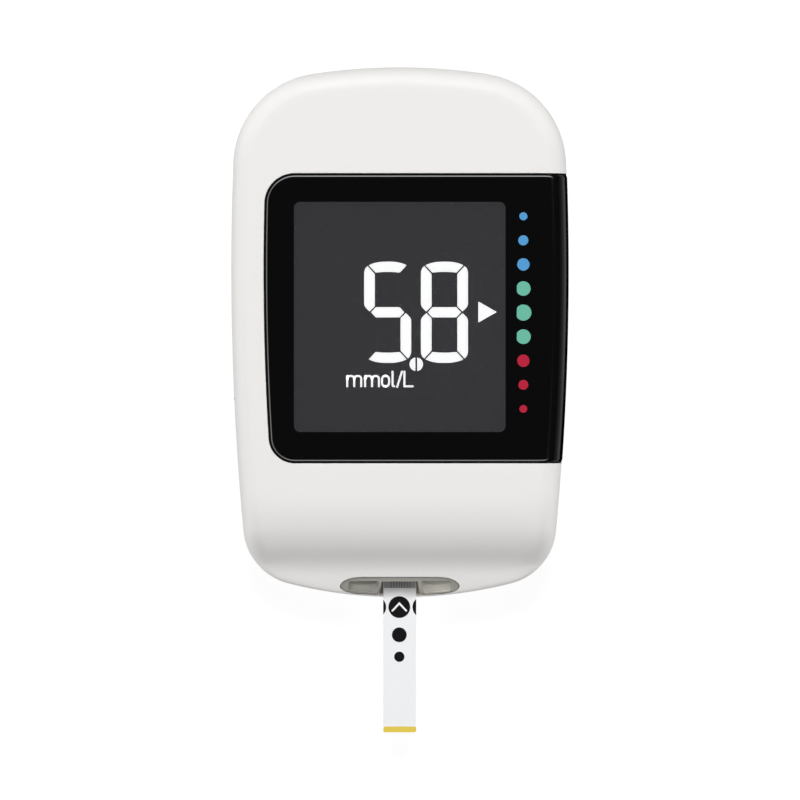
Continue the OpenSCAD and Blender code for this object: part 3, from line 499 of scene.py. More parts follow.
@dataclass(frozen=True)
class Finish:
    """One material: its colour and how its surface takes the light.

    Attributes:
        name: The material's name.
        colour: Its base colour, linear.
        roughness: From 0, polished, to 1, dull.
        tone: Share by which the colour varies over the surface.
        grain: Grains per millimetre.
        relief: Depth of the grain, in millimetres.
        spread: How far the roughness varies.
        metallic: 1 for bare metal.
        specular: Strength of the plain reflection, 0.5 for plastic.
        coat: Weight of a clear coat.
        stretch: How the grain is drawn out along X, Y and Z.
        glow: Strength of its own light, in its colour.
        clear: Share of the light that goes straight through.
        milky: Share of the light that scatters inside.
        index: Refractive index of a clear pane.
    """

    name: str
    colour: Colour
    roughness: float = 0.4
    tone: float = 0.05
    grain: float = 5.0
    relief: float = 0.0015
    spread: float = 0.08
    metallic: float = 0.0
    specular: float = 0.5
    coat: float = 0.0
    stretch: Colour = (1.0, 1.0, 1.0)
    glow: float = 0.0
    clear: float = 0.0
    milky: float = 0.0
    index: float = 1.49

    def build(self) -> Material:
        """Makes the material, or finds it where it is made already.

        Returns:
            The material.
        """
        made = bpy.data.materials.get(self.name)
        if made:
            return made
        material = bpy.data.materials.new(self.name)
        material.use_nodes = True
        wire = Nodes(material.node_tree)
        surface = wire.add("Group", {
            "Colour": (*self.colour, 1.0), "Tone": self.tone, "Grains per mm": self.grain,
            "Roughness": self.roughness, "Roughness spread": self.spread,
            "Stretch": self.stretch}, node_tree=surface_group())
        bump = wire.add("Bump", {"Strength": 1.0, "Distance": self.relief * MM,
                                 "Height": surface.outputs["Height"]})
        shader = wire.add("BsdfPrincipled", {
            "Base Color": self.colour_socket(wire, surface), "Roughness": surface.outputs["Roughness"],
            "Normal": bump.outputs[0], "Metallic": self.metallic, "Specular IOR Level": self.specular,
            "Coat Weight": self.coat, "Coat Roughness": 0.08})
        if self.glow > 0:
            wire.tree.links.new(surface.outputs["Colour"], shader.inputs["Emission Color"])
            shader.inputs["Emission Strength"].default_value = self.glow
        if self.milky > 0:
            shader.inputs["Subsurface Weight"].default_value = self.milky
            shader.inputs["Subsurface Radius"].default_value = (1.0, 0.9, 0.75)
            shader.inputs["Subsurface Scale"].default_value = 0.8 * MM
        output = shader.outputs[0]
        if self.clear > 0:
            output = self.see_through(wire, bump, surface)
        wire.add("OutputMaterial", {"Surface": output})
        return material

    def colour_socket(self, wire: Nodes, surface: Node) -> Socket:
        """The socket of the base colour; patterned finishes have their own."""
        return surface.outputs["Colour"]

    def see_through(self, wire: Nodes, bump: Node, surface: Node) -> Socket:
        """A clear pane: light goes straight through, and the surface mirrors by its angle.

        Args:
            wire: The material's nodes.
            bump: Its Bump node.
            surface: Its surface group.

        Returns:
            The shader's socket.
        """
        glass = wire.add("BsdfTransparent", {"Color": (*self.colour, 1.0)})
        gloss = wire.add("BsdfGlossy", {"Color": (1, 1, 1, 1), "Roughness": surface.outputs["Roughness"],
                                        "Normal": bump.outputs[0]})
        leaving = wire.add("NewGeometry").outputs["Backfacing"]
        index = wire.maths("MULTIPLY_ADD", leaving, 1 / self.index - self.index, self.index)
        edge = wire.add("Fresnel", {"IOR": index, "Normal": bump.outputs[0]})
        return wire.blend(edge.outputs[0], glass, gloss)


@dataclass(frozen=True)
class StripedFinish(Finish):
    """A finish with fine bars across it, such as conductive rubber or printed tracks.

    Attributes:
        bars: Colour of the bars.
        pitch: Distance between bars, in millimetres.
        share: Part of the pitch that a bar takes.
        axis: 0, 1 or 2 for bars that follow each other along X, Y or Z.
    """

    bars: Colour = (0.5, 0.5, 0.5)
    pitch: float = 0.2
    share: float = 0.5
    axis: int = 0

    def colour_socket(self, wire: Nodes, surface: Node) -> Socket:
        """The base colour with the bars laid over it.

        Args:
            wire: The material's nodes.
            surface: Its surface group.

        Returns:
            The colour's socket.
        """
        along = wire.add("SeparateXYZ", {0: wire.place_in_mm()}).outputs[self.axis]
        cycle = wire.maths("FRACT", wire.maths("MULTIPLY", along, 1 / self.pitch))
        mask = wire.maths("LESS_THAN", cycle, self.share)
        return wire.mix(mask, surface.outputs["Colour"], (*self.bars, 1.0))


@dataclass(frozen=True)
class BoardFinish(Finish):
    """Solder mask with tracks and pads showing through it.

    Attributes:
        track: Colour of the tracks.
        pad: Colour of the pads.
    """

    track: Colour = (0.03, 0.28, 0.11)
    pad: Colour = (0.75, 0.6, 0.25)

    def colour_socket(self, wire: Nodes, surface: Node) -> Socket:
        """The mask's colour, lighter over the tracks, with bare pads between them.

        Args:
            wire: The material's nodes.
            surface: Its surface group.

        Returns:
            The colour's socket.
        """
        in_mm = wire.place_in_mm()
        cells = wire.add("TexVoronoi", {"Vector": in_mm, "Scale": 0.32}, feature="F1",
                         distance="MANHATTAN").outputs["Distance"]
        lines = wire.maths("LESS_THAN", wire.maths("PINGPONG", cells, 0.16), 0.04)
        with_tracks = wire.mix(lines, surface.outputs["Colour"], (*self.track, 1.0))
        dots = wire.add("TexVoronoi", {"Vector": in_mm, "Scale": 0.5}).outputs["Distance"]
        pads = wire.maths("LESS_THAN", dots, 0.16)
        return wire.mix(pads, with_tracks, (*self.pad, 1.0))


@dataclass(frozen=True)
class DishLightFinish(Finish):
    """A smoky plastic, paler in its dishes below a given height and paler towards +X: painted light.

    Attributes:
        lit_colour: Colour of the paler parts, painted light.
        from_z: Height, in millimetres, from which the plain colour holds.
        fade: Height over which the colour changes, in millimetres.
        slope: Rise of that height along Y.
        at_y: Place along Y, in millimetres, where from_z holds.
        side_light: Share per millimetre by which the paler parts grow lighter along X, painted light from
            the left.
    """

    lit_colour: Colour = (0.41, 0.397, 0.354)
    from_z: float = 8.22
    fade: float = 0.3
    slope: float = LIP_SLOPE
    at_y: float = -36.9
    side_light: float = 0.04

    def colour_socket(self, wire: Nodes, surface: Node) -> Socket:
        """The base colour, paler below the given height and towards +X, which paints light.

        Args:
            wire: The material's nodes.
            surface: Its surface group.

        Returns:
            The colour's socket.
        """
        axes = wire.add("SeparateXYZ", {0: wire.place_in_mm()}).outputs
        along = wire.maths("SUBTRACT", axes[1], self.at_y)
        level = wire.maths("SUBTRACT", axes[2], wire.maths("MULTIPLY", along, self.slope))
        # Share of the plain colour; below the height it turns paler, painted light.
        thick = wire.add("MapRange", {0: level, 1: self.from_z - self.fade, 2: self.from_z}).outputs[0]
        # Painted light from the left: lighter towards +X.
        paler = wire.maths("MULTIPLY_ADD", axes[0], self.side_light, 1.0)
        return wire.mix(thick, wire.scale(self.lit_colour, paler), surface.outputs["Colour"])


class Palette:
    """Every finish of the meter, by name."""

    CASE = Finish("satin_white", (0.905, 0.889, 0.871), 0.48, tone=0.012, grain=7, relief=0.0012,
        spread=0.05, specular=0.2)
    CASE_BACK = Finish("satin_white_back", (0.875, 0.86, 0.84), 0.5, tone=0.015, grain=6, relief=0.002,
        specular=0.35)
    LENS = Finish("polished_black", (0.0022, 0.0022, 0.0024), 0.07, tone=0.2, grain=2, relief=0.00003,
        spread=0.03)
    PANE = Finish("clear_pane", (0.985, 0.985, 0.985), 0.06, tone=0.0, grain=2, relief=0.00003, spread=0.02,
        clear=1.0)
    DISPLAY_GLASS = Finish("display_glass", (0.985, 0.99, 0.99), 0.05, grain=2, relief=0.00003, clear=1.0)
    FILM = Finish("clear_film", (0.97, 0.97, 0.97), 0.2, grain=8, relief=0.0001, clear=1.0)
    BACK_FILM = Finish("silver_film", (0.5, 0.5, 0.52), 0.3, grain=8, relief=0.0001, metallic=0.4)
    # The ground's glow is partly real backlight leakage and partly painted light, standing in for lamp
    # light that the panes above keep from it.
    DISPLAY_GROUND = Finish("display_ground", (0.036, 0.034, 0.0385), 0.55, tone=0.05, grain=6,
        relief=0.0001, specular=0.2, glow=1.13)
    LIT = Finish("lit_segments", (1.0, 1.0, 1.0), 0.6, tone=0.0, glow=1.26)
    # A matte black strip in the gap round the lens, a painted shadow of the gap.
    GAP_SHADOW = Finish("painted_gap_shadow", (0.004, 0.004, 0.004), 0.8, tone=0.3, grain=9, relief=0.003,
        specular=0.1)
    TAPE = Finish("foam_tape", (0.03, 0.03, 0.032), 0.85, tone=0.3, grain=9, relief=0.01)
    BLUE = Finish("blue_print", (0.10, 0.365, 0.71), 0.2, tone=0.05, relief=0.0002)
    GREEN = Finish("green_print", (0.165, 0.54, 0.40), 0.2, tone=0.05, relief=0.0002)
    RED = Finish("red_print", (0.52, 0.02, 0.051), 0.2, tone=0.05, relief=0.0002)
    WHITE_FRAME = Finish("white_frame", (0.8, 0.8, 0.78), 0.5, relief=0.003)
    GUIDE = Finish("light_guide", (0.85, 0.86, 0.84), 0.15, relief=0.001, milky=0.4)
    LED = Finish("led_resin", (0.85, 0.72, 0.18), 0.3, relief=0.001, milky=0.3)
    ZEBRA = StripedFinish("zebra_rubber", (0.02, 0.02, 0.02), 0.7, bars=(0.35, 0.34, 0.3), pitch=0.18)
    BOARD = BoardFinish("solder_mask", (0.012, 0.13, 0.05), 0.35, tone=0.2, relief=0.002, coat=0.3)
    CHIP = Finish("epoxy", (0.018, 0.018, 0.02), 0.55, tone=0.3, grain=10, relief=0.003)
    CERAMIC = Finish("ceramic", (0.42, 0.3, 0.18), 0.5, tone=0.2, relief=0.003)
    METAL = Finish("plated_sheet", (0.62, 0.62, 0.63), 0.24, tone=0.1, metallic=1.0, grain=5, relief=0.0008,
        stretch=(0.15, 1.0, 1.0))
    CELL = Finish("nickel_can", (0.66, 0.66, 0.65), 0.22, tone=0.08, metallic=1.0, grain=4, relief=0.0006,
        stretch=(0.2, 1.0, 1.0))
    GOLD = Finish("gold_plate", (0.85, 0.58, 0.22), 0.25, tone=0.08, metallic=1.0, relief=0.0008)
    BUTTON = Finish("satin_black", (0.005, 0.005, 0.0055), 0.2, tone=0.2, grain=8, relief=0.0015)
    PLUNGER = Finish("grey_plastic", (0.12, 0.12, 0.12), 0.5, relief=0.003)
    EJECTOR = Finish("grey_slider", (0.13, 0.135, 0.14), 0.45, tone=0.1, grain=8, relief=0.002)
    CONNECTOR = Finish("black_moulding", (0.03, 0.03, 0.032), 0.5, tone=0.2, relief=0.003)
    # Its dishes and its +X side are painted lighter, painted light.
    SMOKE = DishLightFinish("smoky_moulding", (0.29, 0.283, 0.255), 0.3, tone=0.06, grain=3, relief=0.0006,
        milky=0.2, specular=0.3)
    STRIP = Finish("strip_film", (0.978, 0.985, 0.995), 0.35, tone=0.015, grain=10, relief=0.0008)
    CARBON = Finish("carbon_print", (0.42, 0.42, 0.42), 0.4, tone=0.2, grain=12, relief=0.0006)
    TRACK = Finish("track_print", (0.16, 0.16, 0.16), 0.4, tone=0.2, grain=12, relief=0.0006)
    INK = Finish("black_ink", (0.0035, 0.003, 0.0035), 0.4, tone=0.2, relief=0.0006, specular=0.15)
    AMBER = Finish("amber_window", (0.88, 0.67, 0.10), 0.25, tone=0.15, grain=3, relief=0.0008)
    SCREW = Finish("zinc", (0.55, 0.56, 0.57), 0.3, tone=0.15, metallic=1.0, grain=6, relief=0.001)


# ---- the body's shape


@dataclass(frozen=True)
class BodyShape:
    """The outline and the face of the body, in millimetres."""

    length: float
    width: float
    height: float
    top_r: float = 84.0
    top_corner_r: float = 13.5
    side_r: float = 411.0
    side_y: float = 9.0
    bottom_corner_r: float = 8.7
    bottom_r: float = 66.0
    seam_z: float = 6.5
    wall: float = 1.8
    face_wall: float = 1.6
    floor_t: float = 1.2
    edge_front: float = 3.2
    edge_back: float = 4.0
    edge_power: float = 2.8
    lip_power: float = 11.0
    lip_from: float = 5.0
    lip_blend: float = 2.5
    dome: float = 0.3
    slope_lead: float = 14.5
    slope_convex: float = 8.5
    slope_concave: float = 2.8
    slope_angle: float = 50.0
    lip_angle: float = 20.0

    @property
    def half_w(self) -> float:
        """Half of the width."""
        return self.width / 2

    @property
    def half_l(self) -> float:
        """Half of the length."""
        return self.length / 2

    @property
    def side_x0(self) -> float:
        """Place across of the long side's centre."""
        return self.half_w - self.side_r

    @staticmethod
    def meet(a: Vector, ra: float, b: Vector, rb: float) -> Vector:
        """The crossing of two circles that lies further right.

        Args:
            a: Centre of the first circle.
            ra: Its radius.
            b: Centre of the second circle.
            rb: Its radius.

        Returns:
            The crossing.
        """
        v = b - a
        n = v.length
        t = (ra * ra - rb * rb + n * n) / (2 * n)
        foot = a + v * (t / n)
        side = Vector((-v.y, v.x)) * (sqrt(ra * ra - t * t) / n)
        return max(foot + side, foot - side, key=lambda p: p.x)

    def arcs(self) -> list[tuple[Vector, float, float, float, int]]:
        """The arcs of the outline's right half.

        Returns:
            Centre, radius, first angle, last angle and steps of each, from the top end down.
        """
        top = Vector((0, self.half_l - self.top_r))
        side = Vector((self.side_x0, self.side_y))
        bottom = Vector((0, self.bottom_r - self.half_l))
        upper = self.meet(top, self.top_r - self.top_corner_r, side, self.side_r - self.top_corner_r)
        lower = self.meet(bottom, self.bottom_r - self.bottom_corner_r, side,
                          self.side_r - self.bottom_corner_r)
        heading = [degrees(atan2(b.y - a.y, b.x - a.x))
                   for a, b in ((top, upper), (side, upper), (side, lower), (bottom, lower))]
        return [(top, self.top_r, 90.0, heading[0], 10),
                (upper, self.top_corner_r, heading[0], heading[1], 20),
                (side, self.side_r, heading[1], heading[2], 34),
                (lower, self.bottom_corner_r, heading[2], heading[3], 16),
                (bottom, self.bottom_r, heading[3], -90.0, 22)]

    def ring(self, inset: float) -> Plan:
        """The outline moved inwards, clockwise from the middle of the top end."""
        right: Plan = []
        for centre, radius, first, last, steps in self.arcs():
            right += arc((centre.x, centre.y), radius - inset, first, last, steps)[:-1]
        return right + [(0.0, inset - self.half_l)] + [(-x, y) for x, y in reversed(right[1:])]

    def side_x(self, y: float, inset: float = 0.0) -> float:
        """Half-width of the body's side at y, moved inwards."""
        return self.side_x0 + sqrt((self.side_r - inset) ** 2 - (y - self.side_y) ** 2)

    def drop(self, y: float) -> float:
        """How far the face has rolled down towards the strip end.

        Args:
            y: Place along the length.

        Returns:
            The drop from the face's full height.
        """
        steep, slight = radians(self.slope_angle), radians(self.lip_angle)
        convex_r = self.slope_convex / sin(steep)
        concave_r = self.slope_concave / (sin(steep) - sin(slight))
        start = self.slope_lead - self.half_l
        if y >= start:
            return 0.0
        if y >= start - self.slope_convex:
            return convex_r - sqrt(convex_r ** 2 - (start - y) ** 2)
        total = convex_r * (1 - cos(steep)) + concave_r * (cos(slight) - cos(steep))
        if y >= self.lip_y:
            across = concave_r * sin(slight) + y - self.lip_y
            return total + sqrt(concave_r ** 2 - across ** 2) - concave_r * cos(slight)
        return total + (self.lip_y - y) * tan(slight)

    def crown(self, x: float, y: float) -> float:
        """Height of the front face."""
        return self.height - self.dome * (x / self.half_w) ** 2 - self.drop(y)

    @property
    def lip_y(self) -> float:
        """Inner end of the slightly sloping lip at the strip end."""
        return self.slope_lead - self.slope_convex - self.slope_concave - self.half_l

    @property
    def lip_z(self) -> float:
        """Height of the face at the lip's inner end."""
        return self.height - self.drop(self.lip_y)

    def full(self, angle: float) -> Point:
        """Across and up along the rounded edge, from the parting line at 0 to the face at 90 degrees."""
        t = radians(angle)
        power = 2 / self.edge_power
        return max(cos(t), 0.0) ** power, sin(t) ** power

    def rise(self, inset: float, y: float) -> float:
        """Share of the way up to the face at this inset; the edge is fuller at the strip end."""
        share = min(max((self.lip_from - self.half_l - y) / self.lip_blend, 0.0), 1.0)
        power = self.edge_power + (self.lip_power - self.edge_power) * share * share * (3 - 2 * share)
        return (1 - (1 - inset / self.edge_front) ** power) ** (1 / power)

    def outer_ring(self, inset: float) -> Ring:
        """A ring on the outside of the rounded edge."""
        return [Vector((x, y, self.seam_z + (self.crown(x, y) - self.seam_z) * self.rise(inset, y)))
                for x, y in self.ring(inset)]

    def edge_ring(self, inset: float, rise: float, sunk: float) -> Ring:
        """A ring on the rounded edge, a share of the way up to the face."""
        return [Vector((x, y, self.seam_z + (self.crown(x, y) - sunk - self.seam_z) * rise))
                for x, y in self.ring(inset)]

    def face_ring(self, inset: float, scale: float, sunk: float) -> Ring:
        """A ring on the face, drawn in towards the middle."""
        return [Vector((x * scale, y * scale, self.crown(x * scale, y * scale) - sunk))
                for x, y in self.ring(inset)]


def measured_body() -> BodyShape:
    """The body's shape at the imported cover's size, from its uncut top end and left side."""
    low, high = cad_box("front_cover")
    return BodyShape(length=2 * high.y, width=-2 * low.x, height=high.z)


@dataclass(frozen=True)
class Port:
    """The oval strip port at the body's lower end, in millimetres."""

    body: BodyShape
    ry: float = 1.38
    rx: float = 3.3
    lower_ry: float = 1.15
    sag: float = 0.2
    flare: float = 1.6
    flare_low: float = 0.75
    spread: float = 0.15
    raised: float = 0.2
    straight: float = 5.4
    z: float = 3.9
    corner: float = 2.4
    depth: float = 2.6
    channel_w: float = 2.5
    strip_z: float = 6.05
    strip_t: float = 0.3
    strip_gap: float = 0.1
    roof: float = 1.15
    cut: float = 0.03

    @property
    def y(self) -> float:
        """Middle of the oval."""
        return 1.6 - self.body.half_l

    @property
    def lip_y(self) -> float:
        """Upper lip of the slot."""
        return 2.3 - self.body.half_l

    @property
    def inner_y(self) -> float:
        """Inner end of the port's space."""
        return self.y + self.ry + self.depth

    def outline(self, inset: float, raised: float) -> Plan:
        """The oval seen from above.

        Args:
            inset: Distance by which it is smaller all round.
            raised: Distance by which its lower side is moved up.

        Returns:
            The outline, clockwise from its upper left.
        """
        a, upper, lower = self.rx - inset, self.ry - inset, self.lower_ry - inset - raised
        turns = [radians(t) for t in spaced(90, -90, 32)]
        right = [(self.straight + a * cos(t), self.y + (upper if t > 0 else lower) * sin(t))
                 for t in turns]
        sag = [(x, self.y - lower - self.sag * (1 - (x / self.straight) ** 2))
               for x in spaced(self.straight, -self.straight, 16)[1:-1]]
        return [(-x, y) for x, y in reversed(right)][16:] + right + sag + [
            (-x, y) for x, y in reversed(right)][:16]

    def space(self, inset: float, y: float, raised: float = 0.0) -> Object:
        """The solid that fills the port, reaching in to y.

        Args:
            inset: Distance by which it is smaller all round.
            y: Its inner end.
            raised: Distance by which the lower side of its mouth is moved up.

        Returns:
            The solid.
        """
        x = self.straight + self.rx - inset
        solid = prism("port_space", self.outline(inset, raised), self.z + inset, self.z + 12)
        inner = box("port_inner", (-self.channel_w - 3, self.y, self.z + inset),
                    (self.channel_w + 3, y, self.body.lip_z - self.roof - inset))
        carve(solid, [inner], "UNION")
        radius = self.corner - inset
        side = x - self.corner + radius
        section = ([(side, self.z + 14), (-side, self.z + 14)]
                   + arc((self.corner - x, self.z + self.corner), radius, 180, 270, 10)
                   + arc((x - self.corner, self.z + self.corner), radius, 270, 360, 10))
        tube = loft("port_tube", [[Vector((px, at, pz)) for px, pz in section] for at in (y - 12, y)])
        return carve(solid, [tube], "INTERSECT")

    def mouth(self, grow: float) -> Object:
        """The flared room for the strip in front of the slot, wider at its top.

        Args:
            grow: Distance by which it is larger all round.

        Returns:
            The solid.
        """
        end = -self.body.half_l - 1
        above = self.body.lip_z + 1
        rings = []
        for z, inner, outer in ((self.strip_z - self.strip_gap, 0.0, self.flare_low),
                                (above, self.spread, self.flare)):
            inner += self.channel_w
            outer += self.channel_w
            plan = [(-inner - grow, self.lip_y), (-outer - grow, end), (outer + grow, end),
                    (inner + grow, self.lip_y)]
            rings.append(lift(plan, z - grow))
        return loft("mouth", rings)


@dataclass(frozen=True)
class Screws:
    """Places of the screws and the room that the covers give them, in millimetres."""

    body: BodyShape
    case_boss_r: float = 2.4
    case_bore_r: float = 0.97
    case_hole_r: float = 1.1
    case_head_r: float = 1.9
    case_head_z: float = 2.5
    board_boss_r: float = 1.45
    board_bore_r: float = 0.62

    @property
    def case(self) -> Plan:
        """The four case screws."""
        top, low = self.body.half_l - 5.9, 9.5 - self.body.half_l
        return [(-13.0, top), (13.0, top), (-15.6, low), (15.6, low)]

    @property
    def board(self) -> Plan:
        """The two board screws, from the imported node."""
        low, high = cad_box("board_screws")
        return [(low.x + 1.1, high.y - 1.1), (high.x - 1.1, low.y + 1.1)]


# ---- the display lens


@dataclass(frozen=True)
class Lens:
    """The black lens: a slab with an eased rim that rolls over the body's right side."""

    body: BodyShape
    top: float = 23.05
    bottom: float = -19.04
    inset: float = 4.74
    r_top: float = 4.4
    r_bottom: float = 3.8
    proud: float = 0.15
    side_proud: float = 0.09
    thick: float = 1.35
    apron_t: float = 2.1
    gap: float = 0.13
    apron_z: float = 6.9
    tape_t: float = 0.2
    window_r: float = 0.9
    ease: tuple[Point, ...] = (
        (0.0, 0.36), (0.06, 0.22), (0.13, 0.135), (0.21, 0.085), (0.30, 0.047), (0.40, 0.013), (0.49, 0.0))
    ease_side: float = 0.3
    pocket_flare: tuple[Point, ...] = (
        (0.0, 0.07), (0.01, 0.035), (0.035, 0.01), (0.08, -0.005), (0.16, -0.05))
    # Sides and depth of the black strip that paints the shadow in the lens's gap.
    shadow_sides: Point = (0.02, 0.03)
    shadow_depth: float = 0.6
    ring_step: float = 0.25
    roll_steps: int = 14
    flat_steps: int = 16
    corner_steps: int = 14
    side_steps: int = 36
    end_steps: int = 6
    rings: int = 18

    @property
    def under(self) -> float:
        """Underside of the slab."""
        return self.body.height - self.thick

    def window(self) -> tuple[float, float, float, float]:
        """x0, x1, y0 and y1 of the display window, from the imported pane."""
        low, high = cad_box("window_pane")
        return low.x, high.x, low.y, high.y

    def corner_centres(self, d: float) -> tuple[Point, float, Point, float]:
        """Centres and radii of the two left corners, for the outline moved inwards by d."""
        r1, r0 = self.r_top - d, self.r_bottom - d
        left = self.inset + d
        y1, y0 = self.top - d - r1, self.bottom + d + r0
        return (r1 - self.body.side_x(y1, left), y1), r1, (r0 - self.body.side_x(y0, left), y0), r0

    def pocket(self, d: float, right: float) -> Plan:
        """Outline of the lens, open to the right.

        Args:
            d: Distance by which it is moved inwards.
            right: Its right end.

        Returns:
            The outline, anticlockwise from its upper right corner.
        """
        upper, r1, lower, r0 = self.corner_centres(d)
        left = [(-self.body.side_x(y, self.inset + d), y) for y in spaced(upper[1], lower[1], 24)[1:-1]]
        edge = spaced(right, upper[0], 20)[:-1]
        return ([(x, self.top - d) for x in edge] + arc(upper, r1, 90, 180, self.corner_steps) + left
                + arc(lower, r0, 180, 270, self.corner_steps)
                + [(x, self.bottom + d) for x in reversed(edge)])

    def roll_point(self, t: float) -> Vector:
        """A point of the roll over the side.

        Args:
            t: Angle along the roll, from the parting line at 0 to the face at 90 degrees.

        Returns:
            The point, as (across, up).
        """
        f = self.body.full(min(max(t, 0.0), 90.0))
        reach = self.body.edge_front + self.side_proud
        across = self.body.half_w + self.side_proud - reach * (1 - f[0])
        return Vector((across, self.body.seam_z + (self.face_z(across) - self.body.seam_z) * f[1]))

    def profile(self, t: float) -> tuple[Vector, Vector]:
        """A point of the roll and the outward normal there, as (across, up)."""
        step = self.roll_point(t + 0.5) - self.roll_point(t - 0.5)
        return self.roll_point(t), Vector((step.y, -step.x)).normalized()

    def face_z(self, across: float) -> float:
        """Height of the lens's flat face."""
        return self.body.height + self.proud - self.body.dome * (across / self.body.half_w) ** 2

    def across(self, x: float, y: float) -> float:
        """Distance across the lens, measured square to the body's long side."""
        return hypot(x - self.body.side_x0, y - self.body.side_y) - self.body.side_r + self.body.half_w

    def place(self, across: float, y: float) -> float:
        """x of the point that far across at y."""
        radius = across - self.body.half_w + self.body.side_r
        return self.body.side_x0 + sqrt(radius ** 2 - (y - self.body.side_y) ** 2)

    def on_top(self, x: float, y: float, sunk: float = 0.0) -> Vector:
        """A point on the lens's face, or that far under it."""
        return Vector((x, y, self.face_z(self.across(x, y)) - sunk))

    def on_roll(self, point: Vector, y: float) -> Vector:
        """A point of the roll's profile, carried to its place at y."""
        return Vector((self.place(point.x, y), y, point.y))

    def start_angle(self) -> float:
        """Angle along the roll of the apron's lower edge."""
        rise = (self.apron_z - self.body.seam_z) / (self.face_z(self.body.half_w) - self.body.seam_z)
        return degrees(asin(rise ** (self.body.edge_power / 2)))

    def surface_ring(self, d: float, sunk: float, t: float) -> Ring:
        """A ring on the lens's surface, anticlockwise from the roll on the upper edge.

        Args:
            d: Distance inwards from the rim.
            sunk: Depth under the surface, square to it.
            t: Angle along the roll that the right side has reached.

        Returns:
            The ring.
        """
        d = d + self.gap
        upper, r1, lower, r0 = self.corner_centres(d)
        y1, y0 = self.top - d, self.bottom + d
        roll = []
        for angle in spaced(t, 90, self.roll_steps):
            point, normal = self.profile(angle)
            roll.append(point - normal * sunk)
        far = roll[-1].x
        flat = [(x, y1) for x in spaced(self.place(far, y1), upper[0], self.flat_steps)[1:]]
        flat += arc(upper, r1, 90, 180, self.corner_steps)[1:]
        flat += [(-self.body.side_x(y, self.inset + d), y)
                 for y in spaced(upper[1], lower[1], self.side_steps)[1:]]
        flat += arc(lower, r0, 180, 270, self.corner_steps)[1:]
        flat += [(x, y0) for x in spaced(lower[0], self.place(far, y0), self.flat_steps)[1:]]
        ring = [self.on_roll(p, y1) for p in roll] + [self.on_top(x, y, sunk) for x, y in flat]
        return ring + [self.on_roll(p, y0) for p in reversed(roll[:-1])] + self.right_side(t, d - self.gap)

    def right_side(self, t: float, d: float) -> Ring:
        """The part of a ring on the rolled right side, from its lower end to its upper one.

        Args:
            t: Angle along the roll.
            d: Distance of the ring's ends from the rim.

        Returns:
            The points, with the rim's easing at both ends.
        """
        point, normal = self.profile(t)
        last = max(self.ease[-1][0] - d, 0.0) + self.ease_side
        steps = spaced(0.0, last, self.end_steps)[1:]
        y0, y1 = self.bottom + self.gap + d, self.top - self.gap - d
        sunk = [(step, point - normal * self.depth(d + step)) for step in steps]
        between = spaced(y0 + last, y1 - last, self.side_steps - 2 * self.end_steps)[1:-1]
        return ([self.on_roll(p, y0 + step) for step, p in sunk] + [self.on_roll(point, y) for y in between]
                + [self.on_roll(p, y1 - step) for step, p in reversed(sunk)])

    def depth(self, d: float) -> float:
        """Depth of the eased rim under the face at distance d from the rim."""
        for (d0, s0), (d1, s1) in zip(self.ease, self.ease[1:]):
            if d <= d1:
                return s0 + (s1 - s0) * (d - d0) / (d1 - d0)
        return 0.0

    def window_ring(self) -> Plan:
        """The window's outline.

        Returns:
            The outline, with as many points as a surface ring and in the same order.
        """
        x0, x1, y0, y1 = self.window()
        r = self.window_r
        plan = arc((x1 - r, y1 - r), r, 0, 90, self.roll_steps)
        plan += [(x, y1) for x in spaced(x1 - r, x0 + r, self.flat_steps)[1:]]
        plan += arc((x0 + r, y1 - r), r, 90, 180, self.corner_steps)[1:]
        plan += [(x0, y) for y in spaced(y1 - r, y0 + r, self.side_steps)[1:]]
        plan += arc((x0 + r, y0 + r), r, 180, 270, self.corner_steps)[1:]
        plan += [(x, y0) for x in spaced(x0 + r, x1 - r, self.flat_steps)[1:]]
        plan += arc((x1 - r, y0 + r), r, 270, 360, self.roll_steps)[1:]
        plan += [(x1, y) for y in spaced(y0 + r, y1 - r, self.side_steps)[1:-1]]
        return plan

    def on_face(self, plan: Plan) -> Ring:
        """A flat outline laid on the lens's face."""
        return [self.on_top(x, y) for x, y in plan]

    def frame_sections(self) -> list[Ring]:
        """The sections of the frame.

        Returns:
            The rings, from its underside over the surface to the window.
        """
        start = self.start_angle()
        inner = self.body.half_w - self.apron_t
        surface = []
        for k in range(self.rings + 1):
            t = start + (90 - start) * k / self.rings
            if k < len(self.ease):
                surface.append(self.surface_ring(*self.ease[k], t))
            else:
                d = self.ease[-1][0] + self.ring_step * (k - len(self.ease) + 1)
                surface.append(self.surface_ring(d, 0.0, t))
        rim = surface[0]
        behind = [self.across(p.x, p.y) < inner for p in rim]
        low = [Vector((p.x, p.y, self.under if b else self.apron_z)) for p, b in zip(rim, behind)]
        foot = [p if b else Vector((self.place(inner, p.y), p.y, self.apron_z))
                for p, b in zip(low, behind)]
        top = [Vector((p.x, p.y, self.under)) for p in foot]
        window = self.window_ring()
        last = surface[-1]
        between = []
        for share in (0.3, 0.6, 0.85):
            plan = [(p.x + (w[0] - p.x) * share, p.y + (w[1] - p.y) * share) for p, w in zip(last, window)]
            between.append(self.on_face(plan))
        return [top, foot, low] + surface + between + [self.on_face(window), lift(window, self.under)]

    def build_frame(self, holes: list[Object]) -> Object:
        """The black frame with its apron, with the buttons' openings cut by holes."""
        frame_piece = loft("display_lens", self.frame_sections(), hollow=True)
        return carve(frame_piece, holes)

    def build_pane(self) -> Object:
        """The clear part of the lens in the window.

        Returns:
            The pane, in millimetres.
        """
        window = self.window_ring()
        x0, x1, y0, y1 = self.window()
        mid = Vector(((x0 + x1) / 2, (y0 + y1) / 2))
        rings = []
        for share in (1.0, 0.8, 0.6, 0.4, 0.2, 0.05):
            rings.append(self.on_face([(mid.x + (x - mid.x) * share, mid.y + (y - mid.y) * share)
                                       for x, y in window]))
        return loft("display_pane", [lift(window, self.under)] + rings)

